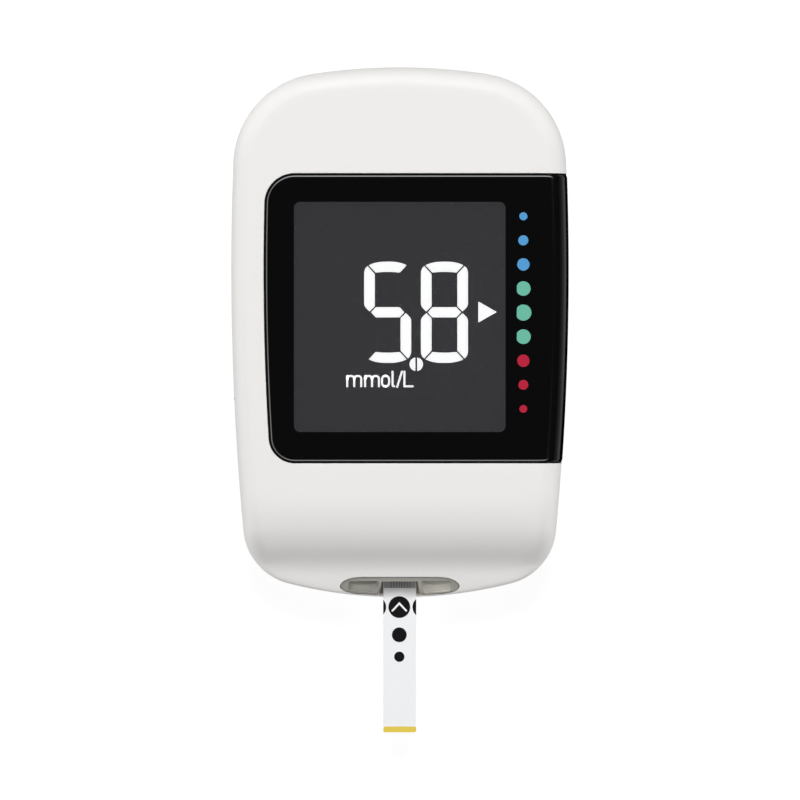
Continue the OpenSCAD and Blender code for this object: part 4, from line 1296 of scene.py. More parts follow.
    def build_gap_shadow(self) -> Object:
        """A black strip that fills the gap between the cover and the lens, as a painted shadow of the gap.

        Returns:
            The strip, in millimetres.
        """
        start = self.start_angle()
        outer, inner = self.shadow_sides[0] - self.gap, self.shadow_sides[1]
        top, foot = self.proud + self.shadow_sides[1], self.shadow_depth
        corners = [self.surface_ring(d, sunk, start)
                   for d, sunk in ((outer, top), (inner, top), (inner, foot), (outer, foot))]
        path = len(corners[0]) - self.side_steps + 1
        return loft("lens_gap_shadow", [[ring[i] for ring in corners] for i in range(path)])

    def pocket_tool(self) -> Object:
        """The solid that cuts the lens's pocket, flared a little at the cover's face.

        Returns:
            The solid.
        """
        right = self.body.half_w + 2
        floor = self.under - self.tape_t
        sections = [lift(self.pocket(0.0, right), floor)]
        for out, sunk in self.pocket_flare:
            sections.append([Vector((x, y, self.body.crown(x, y) - sunk))
                             for x, y in self.pocket(-out, right)])
        sections.append(lift(self.pocket(-self.pocket_flare[-1][0], right), self.body.height + 3))
        return loft("pocket_tool", sections)

    def apron_tool(self) -> Object:
        """The solid that cuts the apron's recess in the body's right side.

        Returns:
            The solid.
        """
        behind = self.apron_t + self.gap
        far = self.body.half_w + 2
        plan = [(self.body.side_x(y, behind), y) for y in spaced(self.bottom, self.top, 40)]
        return prism("apron_tool", plan + [(far, self.top), (far, self.bottom)],
                     self.apron_z - self.gap, self.body.height + 3)


# ---- buttons


@dataclass(frozen=True)
class Buttons:
    """The three side buttons, which stand in a row in the apron."""

    body: BodyShape
    z: float = 9.7
    length: float = 7.4
    height: float = 3.0
    gap: float = 0.1
    sunk: float = 0.02
    dish_r: float = 8.0
    dish_depth: float = 0.13
    dish_stretch: float = 1.9
    edge_r: float = 0.07
    inner_x: float = 15.0
    above_z: float = 30.0
    names: tuple[str, ...] = ("upper", "middle", "lower")

    def places(self) -> list[float]:
        """The buttons' places along the length."""
        boxes = [cad_box(f"{name}_button") for name in self.names]
        return [(low.y + high.y) / 2 for low, high in boxes]

    def pill(self, y: float, x0: float, x1: float, grow: float) -> Object:
        """A pill across the side wall.

        Args:
            y: Its middle along the length.
            x0: Its inner end.
            x1: Its outer end.
            grow: Distance by which it is larger all round.

        Returns:
            The pill.
        """
        r = self.height / 2 + grow
        s = (self.length - self.height) / 2
        plan = arc((y + s, self.z), r, -90, 90, 16) + arc((y - s, self.z), r, 90, 270, 16)
        return loft("pill", [[Vector((x, a, b)) for a, b in plan] for x in (x0, x1)])

    def holes(self) -> list[Object]:
        """The solids that cut the buttons' openings."""
        edge = self.body.half_w
        return [self.pill(y, edge - 7, edge + 1, self.gap) for y in self.places()]

    def build(self, lens: Lens) -> None:
        """Models and dresses the buttons, flush with the lens's side and dished for a fingertip.

        Args:
            lens: The lens that they stand in.
        """
        rows = spaced(lens.bottom, lens.top, 40)
        profile = [lens.profile(t)[0] for t in spaced(0, 90, 40)]
        section = ([Vector((self.inner_x, 0.0)), Vector((self.body.half_w, 0.0))] + profile
                   + [Vector((self.inner_x, self.above_z))])
        for name, y in zip(self.names, self.places()):
            piece = cad_copy(f"{name}_button", f"{name}_button_cap")
            roll = loft("roll", [[Vector((lens.place(p.x, row) - self.sunk, row, p.y)) for p in section]
                                 for row in rows])
            carve(piece, [roll], "INTERSECT")
            dish = ball("dish", self.dish_r)
            reach = self.body.side_x(y) + lens.side_proud + self.dish_r - self.dish_depth
            turned(dish, Matrix.Translation((reach, y, self.z))
                   @ Matrix.Diagonal((1.0, self.dish_stretch, 1.0, 1.0)))
            carve(piece, [dish])
            soften(tidy(piece, flat=0.2), self.edge_r)
            finish_piece(piece, Palette.BUTTON, Body(f"{name}_key"), (f"{name}_button",))


# ---- covers


@dataclass(frozen=True)
class FrontCover:
    """The front cover: a smooth shell with the lens pocket, the port and its bosses."""

    body: BodyShape
    lens: Lens
    port: Port
    screws: Screws
    edge_steps: int = 20
    inner_steps: int = 8
    seam_bevel: float = 0.12
    inner_scales: tuple[float, ...] = (
        0.02, 0.2, 0.4, 0.55, 0.66, 0.7, 0.74, 0.78, 0.82, 0.86, 0.9, 0.94, 0.97)
    outer_scales: tuple[float, ...] = (0.55, 0.4, 0.2, 0.02)
    scale_step: float = 0.0165
    fine_to: float = 0.67
    ledge_w: float = 1.2
    window_edge: float = 0.5
    window_r: float = 1.4
    connector_gap: float = 0.2
    bore_top: float = 10.3

    def skin(self) -> Object:
        """The closed shell, before anything is cut.

        Returns:
            The shell.
        """
        b = self.body
        inner_edge = b.edge_front - b.face_wall / 2
        inner_inset = b.wall + inner_edge
        sections = [b.face_ring(inner_inset, s, b.face_wall) for s in self.inner_scales]
        for angle in spaced(90, 0, self.inner_steps):
            f = b.full(angle)
            sections.append(b.edge_ring(b.wall + inner_edge * (1 - f[0]), f[1], b.face_wall))
        sections.append(b.edge_ring(self.seam_bevel, 0.0, 0.0))
        rise = self.seam_bevel / (b.height - b.seam_z)
        sections.append(b.edge_ring(0.0, rise, 0.0))
        for angle in spaced(0, 90, self.edge_steps)[1:]:
            sections.append(b.outer_ring(b.edge_front * (1 - b.full(angle)[0])))
        scale = 1.0
        while scale > self.fine_to:
            scale -= self.scale_step
            sections.append(b.face_ring(b.edge_front, scale, 0.0))
        sections += [b.face_ring(b.edge_front, s, 0.0) for s in self.outer_scales]
        return loft("front_shell", sections)

    def build(self, button_holes: list[Object]) -> Object:
        """Models and dresses the cover.

        Args:
            button_holes: The solids that cut the buttons' openings.

        Returns:
            The finished cover.
        """
        b, lens, screws = self.body, self.lens, self.screws
        cover = self.skin()
        ledge_z = cad_box("lcd_holder")[1].z + 0.1
        behind = lens.apron_t + lens.gap
        ledge = prism("ledge", lens.pocket(-self.ledge_w, b.half_w + 2), ledge_z, lens.under + 0.3)
        carve(ledge, [prism("inside", b.ring(behind + 1), ledge_z - 1, lens.under + 2)], "INTERSECT")
        rows = spaced(lens.bottom - 1.6, lens.top + 1.6, 40)
        band = ([(b.side_x(y, behind - 0.4), y) for y in rows]
                + [(b.side_x(y, behind + 1), y) for y in reversed(rows)])
        wall = prism("apron_wall", band, b.seam_z, lens.under - 0.5)
        bosses = [rod("boss", p, screws.case_boss_r, b.seam_z, b.lip_z + 1.6) for p in screws.case]
        board_top = cad_box("main_board")[1].z
        bosses += [rod("boss", p, screws.board_boss_r, board_top, ledge_z + 0.3) for p in screws.board]
        carve(cover, [ledge, wall] + bosses, "UNION")
        x0, x1, y0, y1 = lens.window()
        edge = self.window_edge
        plan = rounded_rectangle(x0 - edge, x1 + edge, y0 - edge, y1 + edge, self.window_r)
        hole = prism("hole", plan, ledge_z - 1, lens.under + 1)
        low, high = cad_box("strip_connector")
        room = box("room", (low.x - self.connector_gap, self.port.lip_y + 0.5, b.seam_z - 1),
                   (high.x + self.connector_gap, high.y, high.z + 2 * self.connector_gap))
        bores = [rod("bore", p, screws.case_bore_r, 0, self.bore_top) for p in screws.case]
        bores += [rod("bore", p, screws.board_bore_r, board_top - 0.8, board_top + 2.6)
                  for p in screws.board]
        carve(cover, [lens.pocket_tool(), lens.apron_tool()])
        carve(cover, [hole, self.port.space(0.0, self.port.inner_y), room, usb_space(b)] + bores
              + button_holes)
        carve(cover, [self.port.mouth(self.port.cut)])
        return finish_piece(cover, Palette.CASE, replaces=("front_cover",), angle=38)


def usb_space(body: BodyShape, gap: float = 0.15) -> Object:
    """The solid that cuts the covers' opening for the USB socket.

    Args:
        body: The body's shape.
        gap: Distance that the opening keeps from the socket.

    Returns:
        The solid.
    """
    low, high = cad_box("usb_shell")
    plan = rounded_rectangle(low.x - gap, high.x + gap, low.y - gap, body.half_l + 1, 0.3, 4)
    return prism("usb_space", plan, low.z - gap, high.z + gap)


@dataclass(frozen=True)
class RearCover:
    """The rear cover: a smooth shell with the battery bay and a bare recess for a label."""

    body: BodyShape
    port: Port
    screws: Screws
    edge_steps: int = 16
    inner_steps: int = 8
    undercut: float = 0.25
    seam_bevel: float = 0.12
    label: tuple[float, float, float, float] = (-14.5, 14.5, -24.5, 0.5)
    label_depth: float = 0.15
    corner_r: float = 1.5
    clear: float = 0.1
    bay_roof: float = 0.35
    bay_side: float = 0.25
    bay_end: float = 0.75
    bay_wall: float = 1.2
    bead_r: float = 0.8
    hinge_half: float = 18.0
    pin_r: float = 0.55
    pin_half: float = 19.4
    pin_z: float = 0.85
    post_x: float = 15.0
    leg_half: float = 1.7
    leg_y: float = 5.8
    catch_half: float = 3.2
    pad_end: float = -18.1
    pad_low: float = 2.3
    rail_l: float = 3.4
    rail_top: float = 5.2
    rail_at: Point = (-18.7, 2.45)

    @property
    def bay_top(self) -> float:
        """Height of the battery bay's roof."""
        return cad_box("left_cell")[1].z + self.bay_roof

    @property
    def bay_low(self) -> float:
        """The battery bay's end away from the hinge."""
        return cad_box("left_cell")[0].y - self.bay_end

    @property
    def hinge_y(self) -> float:
        """The door's hinge line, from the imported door."""
        return cad_box("battery_door")[1].y - self.bead_r

    @property
    def bay_high(self) -> float:
        """The battery bay's end by the hinge."""
        return self.hinge_y + self.bead_r + self.clear

    @property
    def rail_x(self) -> float:
        """Outer face of the ejector's rail, from the body's rounded side."""
        b = self.body
        y, z = self.rail_at
        across = sqrt(1 - ((b.seam_z - z) / (b.seam_z - b.floor_t)) ** 2)
        return b.side_x(y, b.wall + (b.edge_back - 1) * (1 - across)) - 0.2

    def skin(self) -> Object:
        """The closed shell, before anything is cut.

        Returns:
            The shell.
        """
        b = self.body
        depth = b.seam_z + self.undercut
        flat = degrees(asin(b.seam_z / depth))
        rim = b.ring(b.edge_back * (1 - cos(radians(flat))))
        sections = [[Vector((x * s, y * s, 0.0)) for x, y in rim] for s in (0.02, 0.4, 0.7, 0.9, 0.97)]
        for angle in spaced(flat, 0, self.edge_steps):
            t = radians(angle)
            sections.append(lift(b.ring(b.edge_back * (1 - cos(t))), b.seam_z - depth * sin(t)))
        sections[-1] = lift(b.ring(0.0), b.seam_z - self.seam_bevel)
        sections.append(lift(b.ring(self.seam_bevel), b.seam_z))
        inner_edge = b.edge_back - 1
        for angle in spaced(0, 90, self.inner_steps):
            t = radians(angle)
            sections.append(lift(b.ring(b.wall + inner_edge * (1 - cos(t))),
                                 b.seam_z - (b.seam_z - b.floor_t) * sin(t)))
        inside = b.ring(b.wall + inner_edge)
        sections += [[Vector((x * s, y * s, b.floor_t)) for x, y in inside] for s in (0.7, 0.4, 0.02)]
        return loft("rear_shell", sections)

    def inner_parts(self) -> list[Object]:
        """What stands inside the cover.

        Returns:
            The bay's walls, the screws' bosses, the board's posts and the ejector's rail.
        """
        b = self.body
        walls = prism("bay_walls", b.ring(2.7), 0.5, self.bay_top + 1)
        band = box("band", (-b.half_w, self.bay_low - self.bay_wall, 0),
                   (b.half_w, self.bay_high + self.bay_wall, 9))
        parts = [carve(walls, [band], "INTERSECT")]
        parts += [rod("boss", p, self.screws.case_boss_r, 0.5, b.seam_z) for p in self.screws.case]
        board_z = cad_box("main_board")[0].z
        parts += [box("post", (x - 1, self.bay_low + 2, self.bay_top), (x + 1, self.bay_low + 4, board_z))
                  for x in (-self.post_x, self.post_x)]
        parts.append(box("rail", (-self.rail_x + 1.0, self.pad_end - self.rail_l, b.floor_t - 0.2),
                         (-self.rail_x + 2.0, -1.6, self.rail_top)))
        return parts

    def bay_tools(self) -> list[Object]:
        """The solids that cut the battery bay.

        Returns:
            The room for the cells, the door's hinge, the contacts' legs and the door's catch.
        """
        top, low_y = self.bay_top, self.bay_low
        cells = [cad_box("left_cell"), cad_box("right_cell")]
        side = cells[1][1].x + self.bay_side
        half = self.hinge_half + self.clear
        plan = rounded_rectangle(-side, side, low_y, self.hinge_y - self.bead_r - self.clear, self.corner_r)
        bore = turned(rod("hinge_bore", (0, 0), self.pin_r, -self.pin_half, self.pin_half),
                      Matrix.Translation((0, self.hinge_y, self.pin_z))
                      @ Matrix.Rotation(pi / 2, 4, "Y"))
        tools = [prism("bay", plan, -1, top),
                 box("hinge_room", (-half, low_y + 3, -1), (half, self.bay_high, top)), bore]
        for low, high in cells:
            mid = (low.x + high.x) / 2
            x0, x1 = mid - self.leg_half, mid + self.leg_half
            leg = (low.y + high.y) / 2 + self.leg_y
            tools.append(box("leg", (x0, leg - 0.5, top - 0.5), (x1, leg + 0.3, top + 2)))
            tools.append(box("leg", (x0, low_y - 0.4, low.z), (x1, low_y + 0.3, top + 2)))
        floor = self.body.floor_t
        tools.append(box("catch", (-self.catch_half, low_y - 0.35, floor),
                         (self.catch_half, low_y + 0.1, floor + 1.4)))
        return tools

    def other_tools(self) -> list[Object]:
        """The solids that cut the rest.

        Returns:
            The screws' holes, the ejector's window, the port, the USB opening and the label recess.
        """
        b, port, screws = self.body, self.port, self.screws
        tools = []
        for p in screws.case:
            tools.append(rod("bore", p, screws.case_hole_r, -1, b.seam_z + 1))
            tools.append(rod("counterbore", p, screws.case_head_r, -1.0, screws.case_head_z))
        tools.append(box("window", (-b.half_w - 1, self.pad_end - 0.3, self.pad_low),
                         (-self.rail_x - 0.1, -2.3, self.rail_top)))
        low, high = cad_box("strip_connector")
        tools.append(box("room", (low.x - 0.2, port.lip_y + 0.5, low.z - 0.2),
                         (high.x + 0.2, low.y + 3, b.seam_z + 1)))
        tools += [port.space(0.0, port.inner_y, port.raised), port.mouth(port.cut), usb_space(b)]
        plan = rounded_rectangle(*self.label, self.corner_r)
        tools.append(prism("label_recess", plan, -1, self.label_depth))
        return tools

    def build(self) -> Object:
        """Models and dresses the cover.

        Returns:
            The finished cover.
        """
        cover = carve(self.skin(), self.inner_parts(), "UNION")
        for tool in self.bay_tools() + self.other_tools():
            carve(cover, [tool])
        return finish_piece(cover, Palette.CASE_BACK, replaces=("rear_cover",), angle=38)


# ---- display


def scaled(points: Plan) -> Plan:
    """Drawing-grid points in millimetres."""
    return [(x * PIXEL_PITCH, y * PIXEL_PITCH) for x, y in points]


def round_end(at: Vector, way: Vector, radius: float) -> list[Vector]:
    """The half circle that ends a line running that way.

    Args:
        at: End of the line.
        way: Direction in which it ends.
        radius: Half of its width.

    Returns:
        The points between the line's two sides.
    """
    heading = degrees(atan2(way.y, way.x))
    return [Vector(q) for q in arc((at.x, at.y), radius, heading - 90, heading + 90, 8)[1:-1]]


def stroke(path: Plan, width: float) -> Plan:
    """Outline of a line of even width with round ends.

    Args:
        path: Points along the line.
        width: Width of the line.

    Returns:
        The outline, anticlockwise.
    """
    points = [Vector(p) for p in path]
    half = width / 2
    left, right = [], []
    for i, p in enumerate(points):
        before = (p - points[i - 1]).normalized() if i > 0 else (points[1] - p).normalized()
        after = (points[i + 1] - p).normalized() if i < len(points) - 1 else before
        along = (before + after).normalized()
        reach = half / max(along.dot(after), 0.5)
        side = Vector((-along.y, along.x)) * reach
        left.append(p + side)
        right.append(p - side)
    outline = (right + round_end(points[-1], points[-1] - points[-2], half) + left[::-1]
               + round_end(points[0], points[0] - points[1], half))
    return [(p.x, p.y) for p in outline]


def squared(value: float) -> float:
    """A sine or cosine that makes a squarer oval."""
    return copysign(abs(value) ** 0.75, value)


class Bar(Enum):
    """The seven bars of a digit."""

    TOP = "top"
    UPPER_RIGHT = "upper right"
    LOWER_RIGHT = "lower right"
    BOTTOM = "bottom"
    LOWER_LEFT = "lower left"
    UPPER_LEFT = "upper left"
    MIDDLE = "middle"


@dataclass(frozen=True)
class Display:
    """The lit figures, their dark ground and the range dots beside them."""

    lens: Lens
    digit_y: float = 2.89
    five_x: float = -1.75
    eight_x: float = 6.49
    point_at: Point = (2.4, -4.66)
    point_r: float = 0.98
    pointer_x: float = 11.41
    pointer_y: float = 2.93
    pointer_l: float = 2.69
    pointer_half: float = 1.53
    unit_at: float = -7.86
    dot_sizes: tuple[float, ...] = (1.16, 1.47, 1.80, 2.11, 2.34, 2.14, 1.80, 1.44, 1.13)
    dot_y: float = 2.83

    def bar_plan(self, bar: Bar) -> Plan:
        """Outline of one bar.

        Args:
            bar: The bar.

        Returns:
            The outline about the digit's middle, in drawing-grid units.
        """
        top = ([(x, 47.0 + 3.6 * (1 - abs(x / 18.9) ** 2.6)) for x in spaced(18.9, -18.9, 16)]
               + [(x, 39.7 + 0.7 * (1 - (x / 12.1) ** 2)) for x in spaced(-12.1, 12.1, 6)])
        side = ([(20.2, 46.2), (21.7, 44.7), (22.8, 42.7), (23.4, 40.5), (23.5, 39.0), (23.5, 8.4),
                 (23.1, 6.5), (22.1, 4.8), (18.1, 0.8), (12.9, 6.0), (12.9, 38.2)])
        middle = [(-16.6, 0), (-11.9, -5.1), (11.9, -5.1), (16.6, 0), (11.9, 5.1), (-11.9, 5.1)]
        plans = {Bar.TOP: top, Bar.BOTTOM: [(x, -y) for x, y in reversed(top)],
                 Bar.UPPER_RIGHT: side, Bar.LOWER_RIGHT: [(x, -y) for x, y in reversed(side)],
                 Bar.UPPER_LEFT: [(-x, y) for x, y in reversed(side)],
                 Bar.LOWER_LEFT: [(-x, -y) for x, y in side], Bar.MIDDLE: middle}
        return plans[bar]

    def digit(self, x: float, bars: set[Bar]) -> list[Plan]:
        """The outlines of a digit's lit bars."""
        return [[(px + x, py + self.digit_y) for px, py in scaled(self.bar_plan(bar))]
                for bar in Bar if bar in bars]

    def unit_plans(self) -> list[Plan]:
        """The unit under the figures.

        Returns:
            The outlines of its strokes.
        """
        x_height, ascender, width = 10.4, 14.7, 2.0
        lines: list[Plan] = []
        for x0, x1 in ((1.6, 15.6), (19.5, 33.3)):
            mid = (x0 + x1) / 2
            lines.append([(x0, 0), (x0, x_height)])
            for left, right in ((x0, mid), (mid, x1)):
                r = (right - left) / 2
                arch = [(left + r + r * cos(t), x_height - r * 0.8 + r * 0.8 * sin(t))
                        for t in spaced(pi, 0, 10)]
                lines.append(arch + [(right, 0)])
        centre, rx, ry = 39.9, 3.6, x_height / 2
        for first, last in ((90, 270), (-90, 90)):
            lines.append([(centre + rx * squared(cos(radians(a))),
                           ry + ry * squared(sin(radians(a)))) for a in spaced(first, last, 14)])
        lines.append([(46.9, ascender), (46.9, 1.2), (47.5, 0.3), (48.6, 0)])
        lines.append([(51.5, -0.6), (56.3, ascender)])
        lines.append([(58.8, ascender), (58.8, 0), (67.0, 0)])
        at = self.unit_at
        return [stroke([(x + at, y + at) for x, y in scaled(line)], width * PIXEL_PITCH) for line in lines]

    def point_halves(self) -> list[Plan]:
        """The decimal point, split down the middle."""
        x, y = self.point_at
        return [arc((x, y), self.point_r, -82, 82, 14), arc((x, y), self.point_r, 98, 262, 14)]

    def build(self) -> None:
        """Models and dresses the figures, the ground and the dots."""
        low, high = cad_box("lcd_segments")
        five = set(Bar) - {Bar.UPPER_RIGHT, Bar.LOWER_LEFT}
        plans = self.digit(self.five_x, five) + self.digit(self.eight_x, set(Bar))
        plans += self.point_halves()
        x, y = self.pointer_x, self.pointer_y
        plans.append([(x, y - self.pointer_half), (x + self.pointer_l, y), (x, y + self.pointer_half)])
        plans += self.unit_plans()
        figures = joined("display_figures", [prism("figure", plan, low.z, high.z) for plan in plans])
        finish_piece(figures, Palette.LIT, replaces=("lcd_segments",), weighted=False)
        film = cad_box("front_polariser")
        rear = cad_box("lcd_rear_glass")
        # The dark ground glows: partly real backlight leakage, partly painted light in place of the lamps'
        # light.
        ground = prism("display_ground", rounded_rectangle(film[0].x, film[1].x, film[0].y, film[1].y, 0.4),
                       rear[1].z + 0.002, low.z - 0.004)
        finish_piece(ground, Palette.DISPLAY_GROUND, weighted=False)
        self.build_dots()

    def build_dots(self) -> None:
        """Models and dresses the nine range dots, three of each colour."""
        low, high = cad_box("range_dots")
        x = (low.x + high.x) / 2
        pitch = cad_pitch(low, high)
        finishes = ((Palette.BLUE, "high_range_dots"), (Palette.GREEN, "target_range_dots"),
                    (Palette.RED, "low_range_dots"))
        for group, (finish, name) in enumerate(finishes):
            dots = []
            for i in range(3 * group, 3 * group + 3):
                y = self.dot_y + (4 - i) * pitch
                r = self.dot_sizes[i] / 2
                z = self.lens.face_z(self.lens.across(x, y))
                rings = [lift(arc((x, y), s, 0, 360, 40)[:-1], h) for s, h in
                         ((r, z - 0.03), (r, z + 0.008), (r - 0.012, z + 0.016), (r * 0.5, z + 0.018),
                          (r * 0.02, z + 0.018))]
                dots.append(loft("dot", rings))
            replaced = ("range_dots",) if group == 1 else ()
            finish_piece(joined(name, dots), finish, replaces=replaced)


def cad_pitch(low: Vector, high: Vector) -> float:
    """Distance between neighbouring range dots, from the row's length."""
    end_dot = 1.14
    return (high.y - low.y - end_dot) / 8


# ---- strip and port


@dataclass(frozen=True)
class PortInsert:
    """The smoky insert around the strip's slot."""

    body: BodyShape
    port: Port
    inset: float = 0.12
    sunk: float = 0.22
    gap: float = 0.06
    dish_x: Point = (2.85, 7.7)
    dish_y: Point = (-1.12, 0.8)
    dish_z: float = 7.45
    dish_rise: float = 0.45
    dish_tilt: float = LIP_SLOPE
    dish_r: float = 0.6
    dish_slant: float = 0.62
    dish_lift: float = 0.35

    def face(self, inset: float) -> float:
        """Height of the insert's top over the parting line, that far from the strip end."""
        return self.body.crown(0.0, inset - self.body.half_l) - self.sunk - self.body.seam_z

    def top_solid(self) -> Object:
        """A solid whose top follows the rounded edge of the strip end, a little sunk.

        Returns:
            The solid.
        """
        b = self.body
        base = b.bottom_r
        section = [(base - 8, 0.0), (base - self.inset, 0.0)]
        for angle in spaced(0, 90, 20):
            inset = b.edge_front * (1 - b.full(angle)[0])
            section.append((base - self.inset - inset * (1 - self.inset / b.edge_front),
                            b.seam_z + self.face(inset) * b.rise(inset, -b.half_l)))
        for inset in (4.0, 5.0, 6.0, 8.0):
            section.append((base - inset, b.seam_z + self.face(inset)))
        centre_y = b.bottom_r - b.half_l
        rings = []
        for angle in spaced(-100, -80, 40):
            t = radians(angle)
            rings.append([Vector((r * cos(t), centre_y + r * sin(t), z)) for r, z in section])
        return loft("insert_top", rings)

    def build(self) -> Object:
        """Models and dresses the insert.

        Returns:
            The finished insert.
        """
        b, port = self.body, self.port
        y1 = port.inner_y - 0.1
        piece = port.space(self.gap, y1)
        far = port.straight + port.rx + 1
        carve(piece, [box("upper", (-far, -b.half_l - 1, b.seam_z), (far, y1 + 1, b.height))], "INTERSECT")
        lower = port.space(self.gap, y1, port.raised)
        carve(lower, [box("lower", (-far, -b.half_l - 1, 0), (far, y1 + 1, b.seam_z + 0.5))], "INTERSECT")
        carve(piece, [lower], "UNION")
        carve(piece, [self.top_solid()], "INTERSECT")
        z0, z1 = port.strip_z - port.strip_gap, port.strip_z + port.strip_t + port.strip_gap
        w = port.channel_w
        channel = box("channel", (-w, -b.half_l - 1, z0), (w, y1 + 1, z1))
        low, high = cad_box("strip_connector")
        room = box("room", (low.x - 0.1, low.y - 0.1, low.z - 0.1), (high.x + 0.1, y1 + 1, high.z + 1))
        for tool in [channel, port.mouth(0.0), room] + [self.dish(side) for side in (-1, 1)]:
            carve(piece, [tool])
        tidy(piece, flat=0.2)
        soften(piece, 0.1, angle=30, segments=3)
        piece.name = piece.data.name = "strip_port_insert"
        return finish_piece(piece, Palette.SMOKE, replaces=("port_insert",))

    def dish(self, side: int) -> Object:
        """The shallow dish beside the slot.

        Args:
            side: -1 for the left one, 1 for the right one.

        Returns:
            The solid that cuts it.
        """
        x0, x1 = self.dish_x
        y0, y1 = (self.port.y + y for y in self.dish_y)
        plan = rounded_rectangle(x0, x1, y0, y1, self.dish_r)
        mid = Vector(((x0 + x1) / 2, (y0 + y1) / 2))
        rings = []
        for share, up in ((0.04, 0.0), (0.3, 0.0), (0.55, 0.01), (0.72, 0.06), (0.84, 0.16), (0.93, 0.34),
                          (0.98, 0.6), (1.0, 0.9), (1.0, 4.0)):
            ring = []
            for px, py in plan:
                x, y = mid.x + (px - mid.x) * share, mid.y + (py - mid.y) * share
                out, down = (x - x0) / (x1 - x0), (y1 - y) / (y1 - y0)
                z = self.dish_z + self.dish_rise * out + self.dish_tilt * (y - self.port.y) + up
                ring.append(Vector((side * (x + self.dish_slant * (1 - out) * down),
                                    y + self.dish_lift * out * down, z)))
            rings.append(ring)
        return loft("dish", rings)


@dataclass(frozen=True)
class TestStrip:
    """The test strip with its printed marks."""

    corner: float = 0.25
    ink_t: float = 0.012
    ring_y: float = -39.98
    ring_r: float = 1.58
    edge_ring_x: float = 3.5
    dots: tuple[Point, ...] = ((-44.01, 1.075), (-47.2, 0.75))
    amber_l: float = 0.85
    tracks_y: float = -37.2
    tracks_x: Point = (-1.25, 1.45)
    tracks: int = 8
    track_half: float = 0.06
    aside: float = 0.06
    print_in: float = 0.01
    arrow_half: float = 1.0
    arrow_y: Point = (-0.52, 0.55)
    arrow_w: float = 0.27

    def build(self) -> None:
        """Models and dresses the strip and its prints."""
        low, high = cad_box("test_strip")
        film = prism("strip_blank", rounded_rectangle(low.x, high.x, low.y, high.y, self.corner, 6),
                     low.z, high.z)
        soften(film, 0.04, angle=50, segments=2)
        finish_piece(film, Palette.STRIP, Body.STRIP, ("test_strip",))
        foot, top = high.z - self.print_in, high.z + self.ink_t
        x = (low.x + high.x) / 2 - self.aside
        marks = [rod("mark", (x, self.ring_y), self.ring_r, foot, top, 64)]
        marks += [rod("mark", (x, y), r, foot, top) for y, r in self.dots]
        for side in (-self.edge_ring_x, self.edge_ring_x):
            mark = rod("mark", (x + side, self.ring_y), self.ring_r, foot, top, 64)
            keep = box("keep", (low.x, low.y, low.z), (high.x, high.y, high.z + 1))
            marks.append(carve(mark, [keep], "INTERSECT"))
        finish_piece(joined("strip_marks", marks), Palette.INK, Body.STRIP)
        y0, y1 = (self.ring_y + y for y in self.arrow_y)
        path = [(x - self.arrow_half, y0), (x, y1), (x + self.arrow_half, y0)]
        chevron = prism("strip_arrow", stroke(path, self.arrow_w), top - 0.004, top + self.ink_t)
        finish_piece(chevron, Palette.STRIP, Body.STRIP)
        plan = rounded_rectangle(low.x + 0.02, high.x - 0.02, low.y, low.y + self.amber_l, self.corner, 6)
        amber = prism("strip_window", plan, low.z + 0.02, top)
        finish_piece(amber, Palette.AMBER, Body.STRIP)
        end, inner = self.tracks_y, high.y - 0.2
        plan = rounded_rectangle(low.x + 0.1, high.x - 0.1, end, inner, 0.1, 4)
        finish_piece(prism("strip_carbon", plan, foot, top), Palette.CARBON, Body.STRIP)
        half, above = self.track_half, high.z + 1.6 * self.ink_t
        lines = [box("track", (at - half, end + 0.05, high.z), (at + half, inner, above))
                 for at in spaced(*self.tracks_x, self.tracks - 1)]
        finish_piece(joined("strip_track_lines", lines), Palette.TRACK, Body.STRIP)


# ---- small parts


@dataclass(frozen=True)
class Battery:
    """The door and the two coin cells, whose rim is given as distances inwards and heights."""

    plus: float = 3.0
    plus_half: float = 0.28
    plus_depth: float = 0.06
    rim: tuple[Point, ...] = (
        (1.0, 0.0), (0.5, 0.04), (0.15, 0.2), (0.0, 0.5), (0.0, 2.75), (0.12, 2.95), (0.45, 3.08),
        (0.75, 3.1), (0.8, 2.95), (1.1, 2.95), (1.2, 3.18), (1.5, 3.2))

    def build(self) -> None:
        """Models and dresses the door and the cells."""
        door = soften(cad_copy("battery_door", "battery_lid"), 0.12, angle=40, segments=3)
        finish_piece(door, Palette.CASE_BACK, Body.DOOR, ("battery_door",))
        for side in ("left", "right"):
            low, high = cad_box(f"{side}_cell")
            mid = (low + high) / 2
            r = (high.x - low.x) / 2
            profile = [(r - inset, z) for inset, z in self.rim]
            profile = [(r * 0.02, profile[0][1])] + profile + [(r * 0.02, profile[-1][1])]
            rings = [lift(arc((mid.x, mid.y), radius, 0, 360, 96)[:-1], low.z + z) for radius, z in profile]
            cell = loft(f"{side}_coin_cell", rings)
            arms = (self.plus / 2, self.plus_half)
            for a, b in (arms, arms[::-1]):
                carve(cell, [box("plus", (mid.x - a, mid.y - b, low.z - 1),
                                 (mid.x + a, mid.y + b, low.z + self.plus_depth))])
            finish_piece(cell, Palette.CELL, replaces=(f"{side}_cell",))


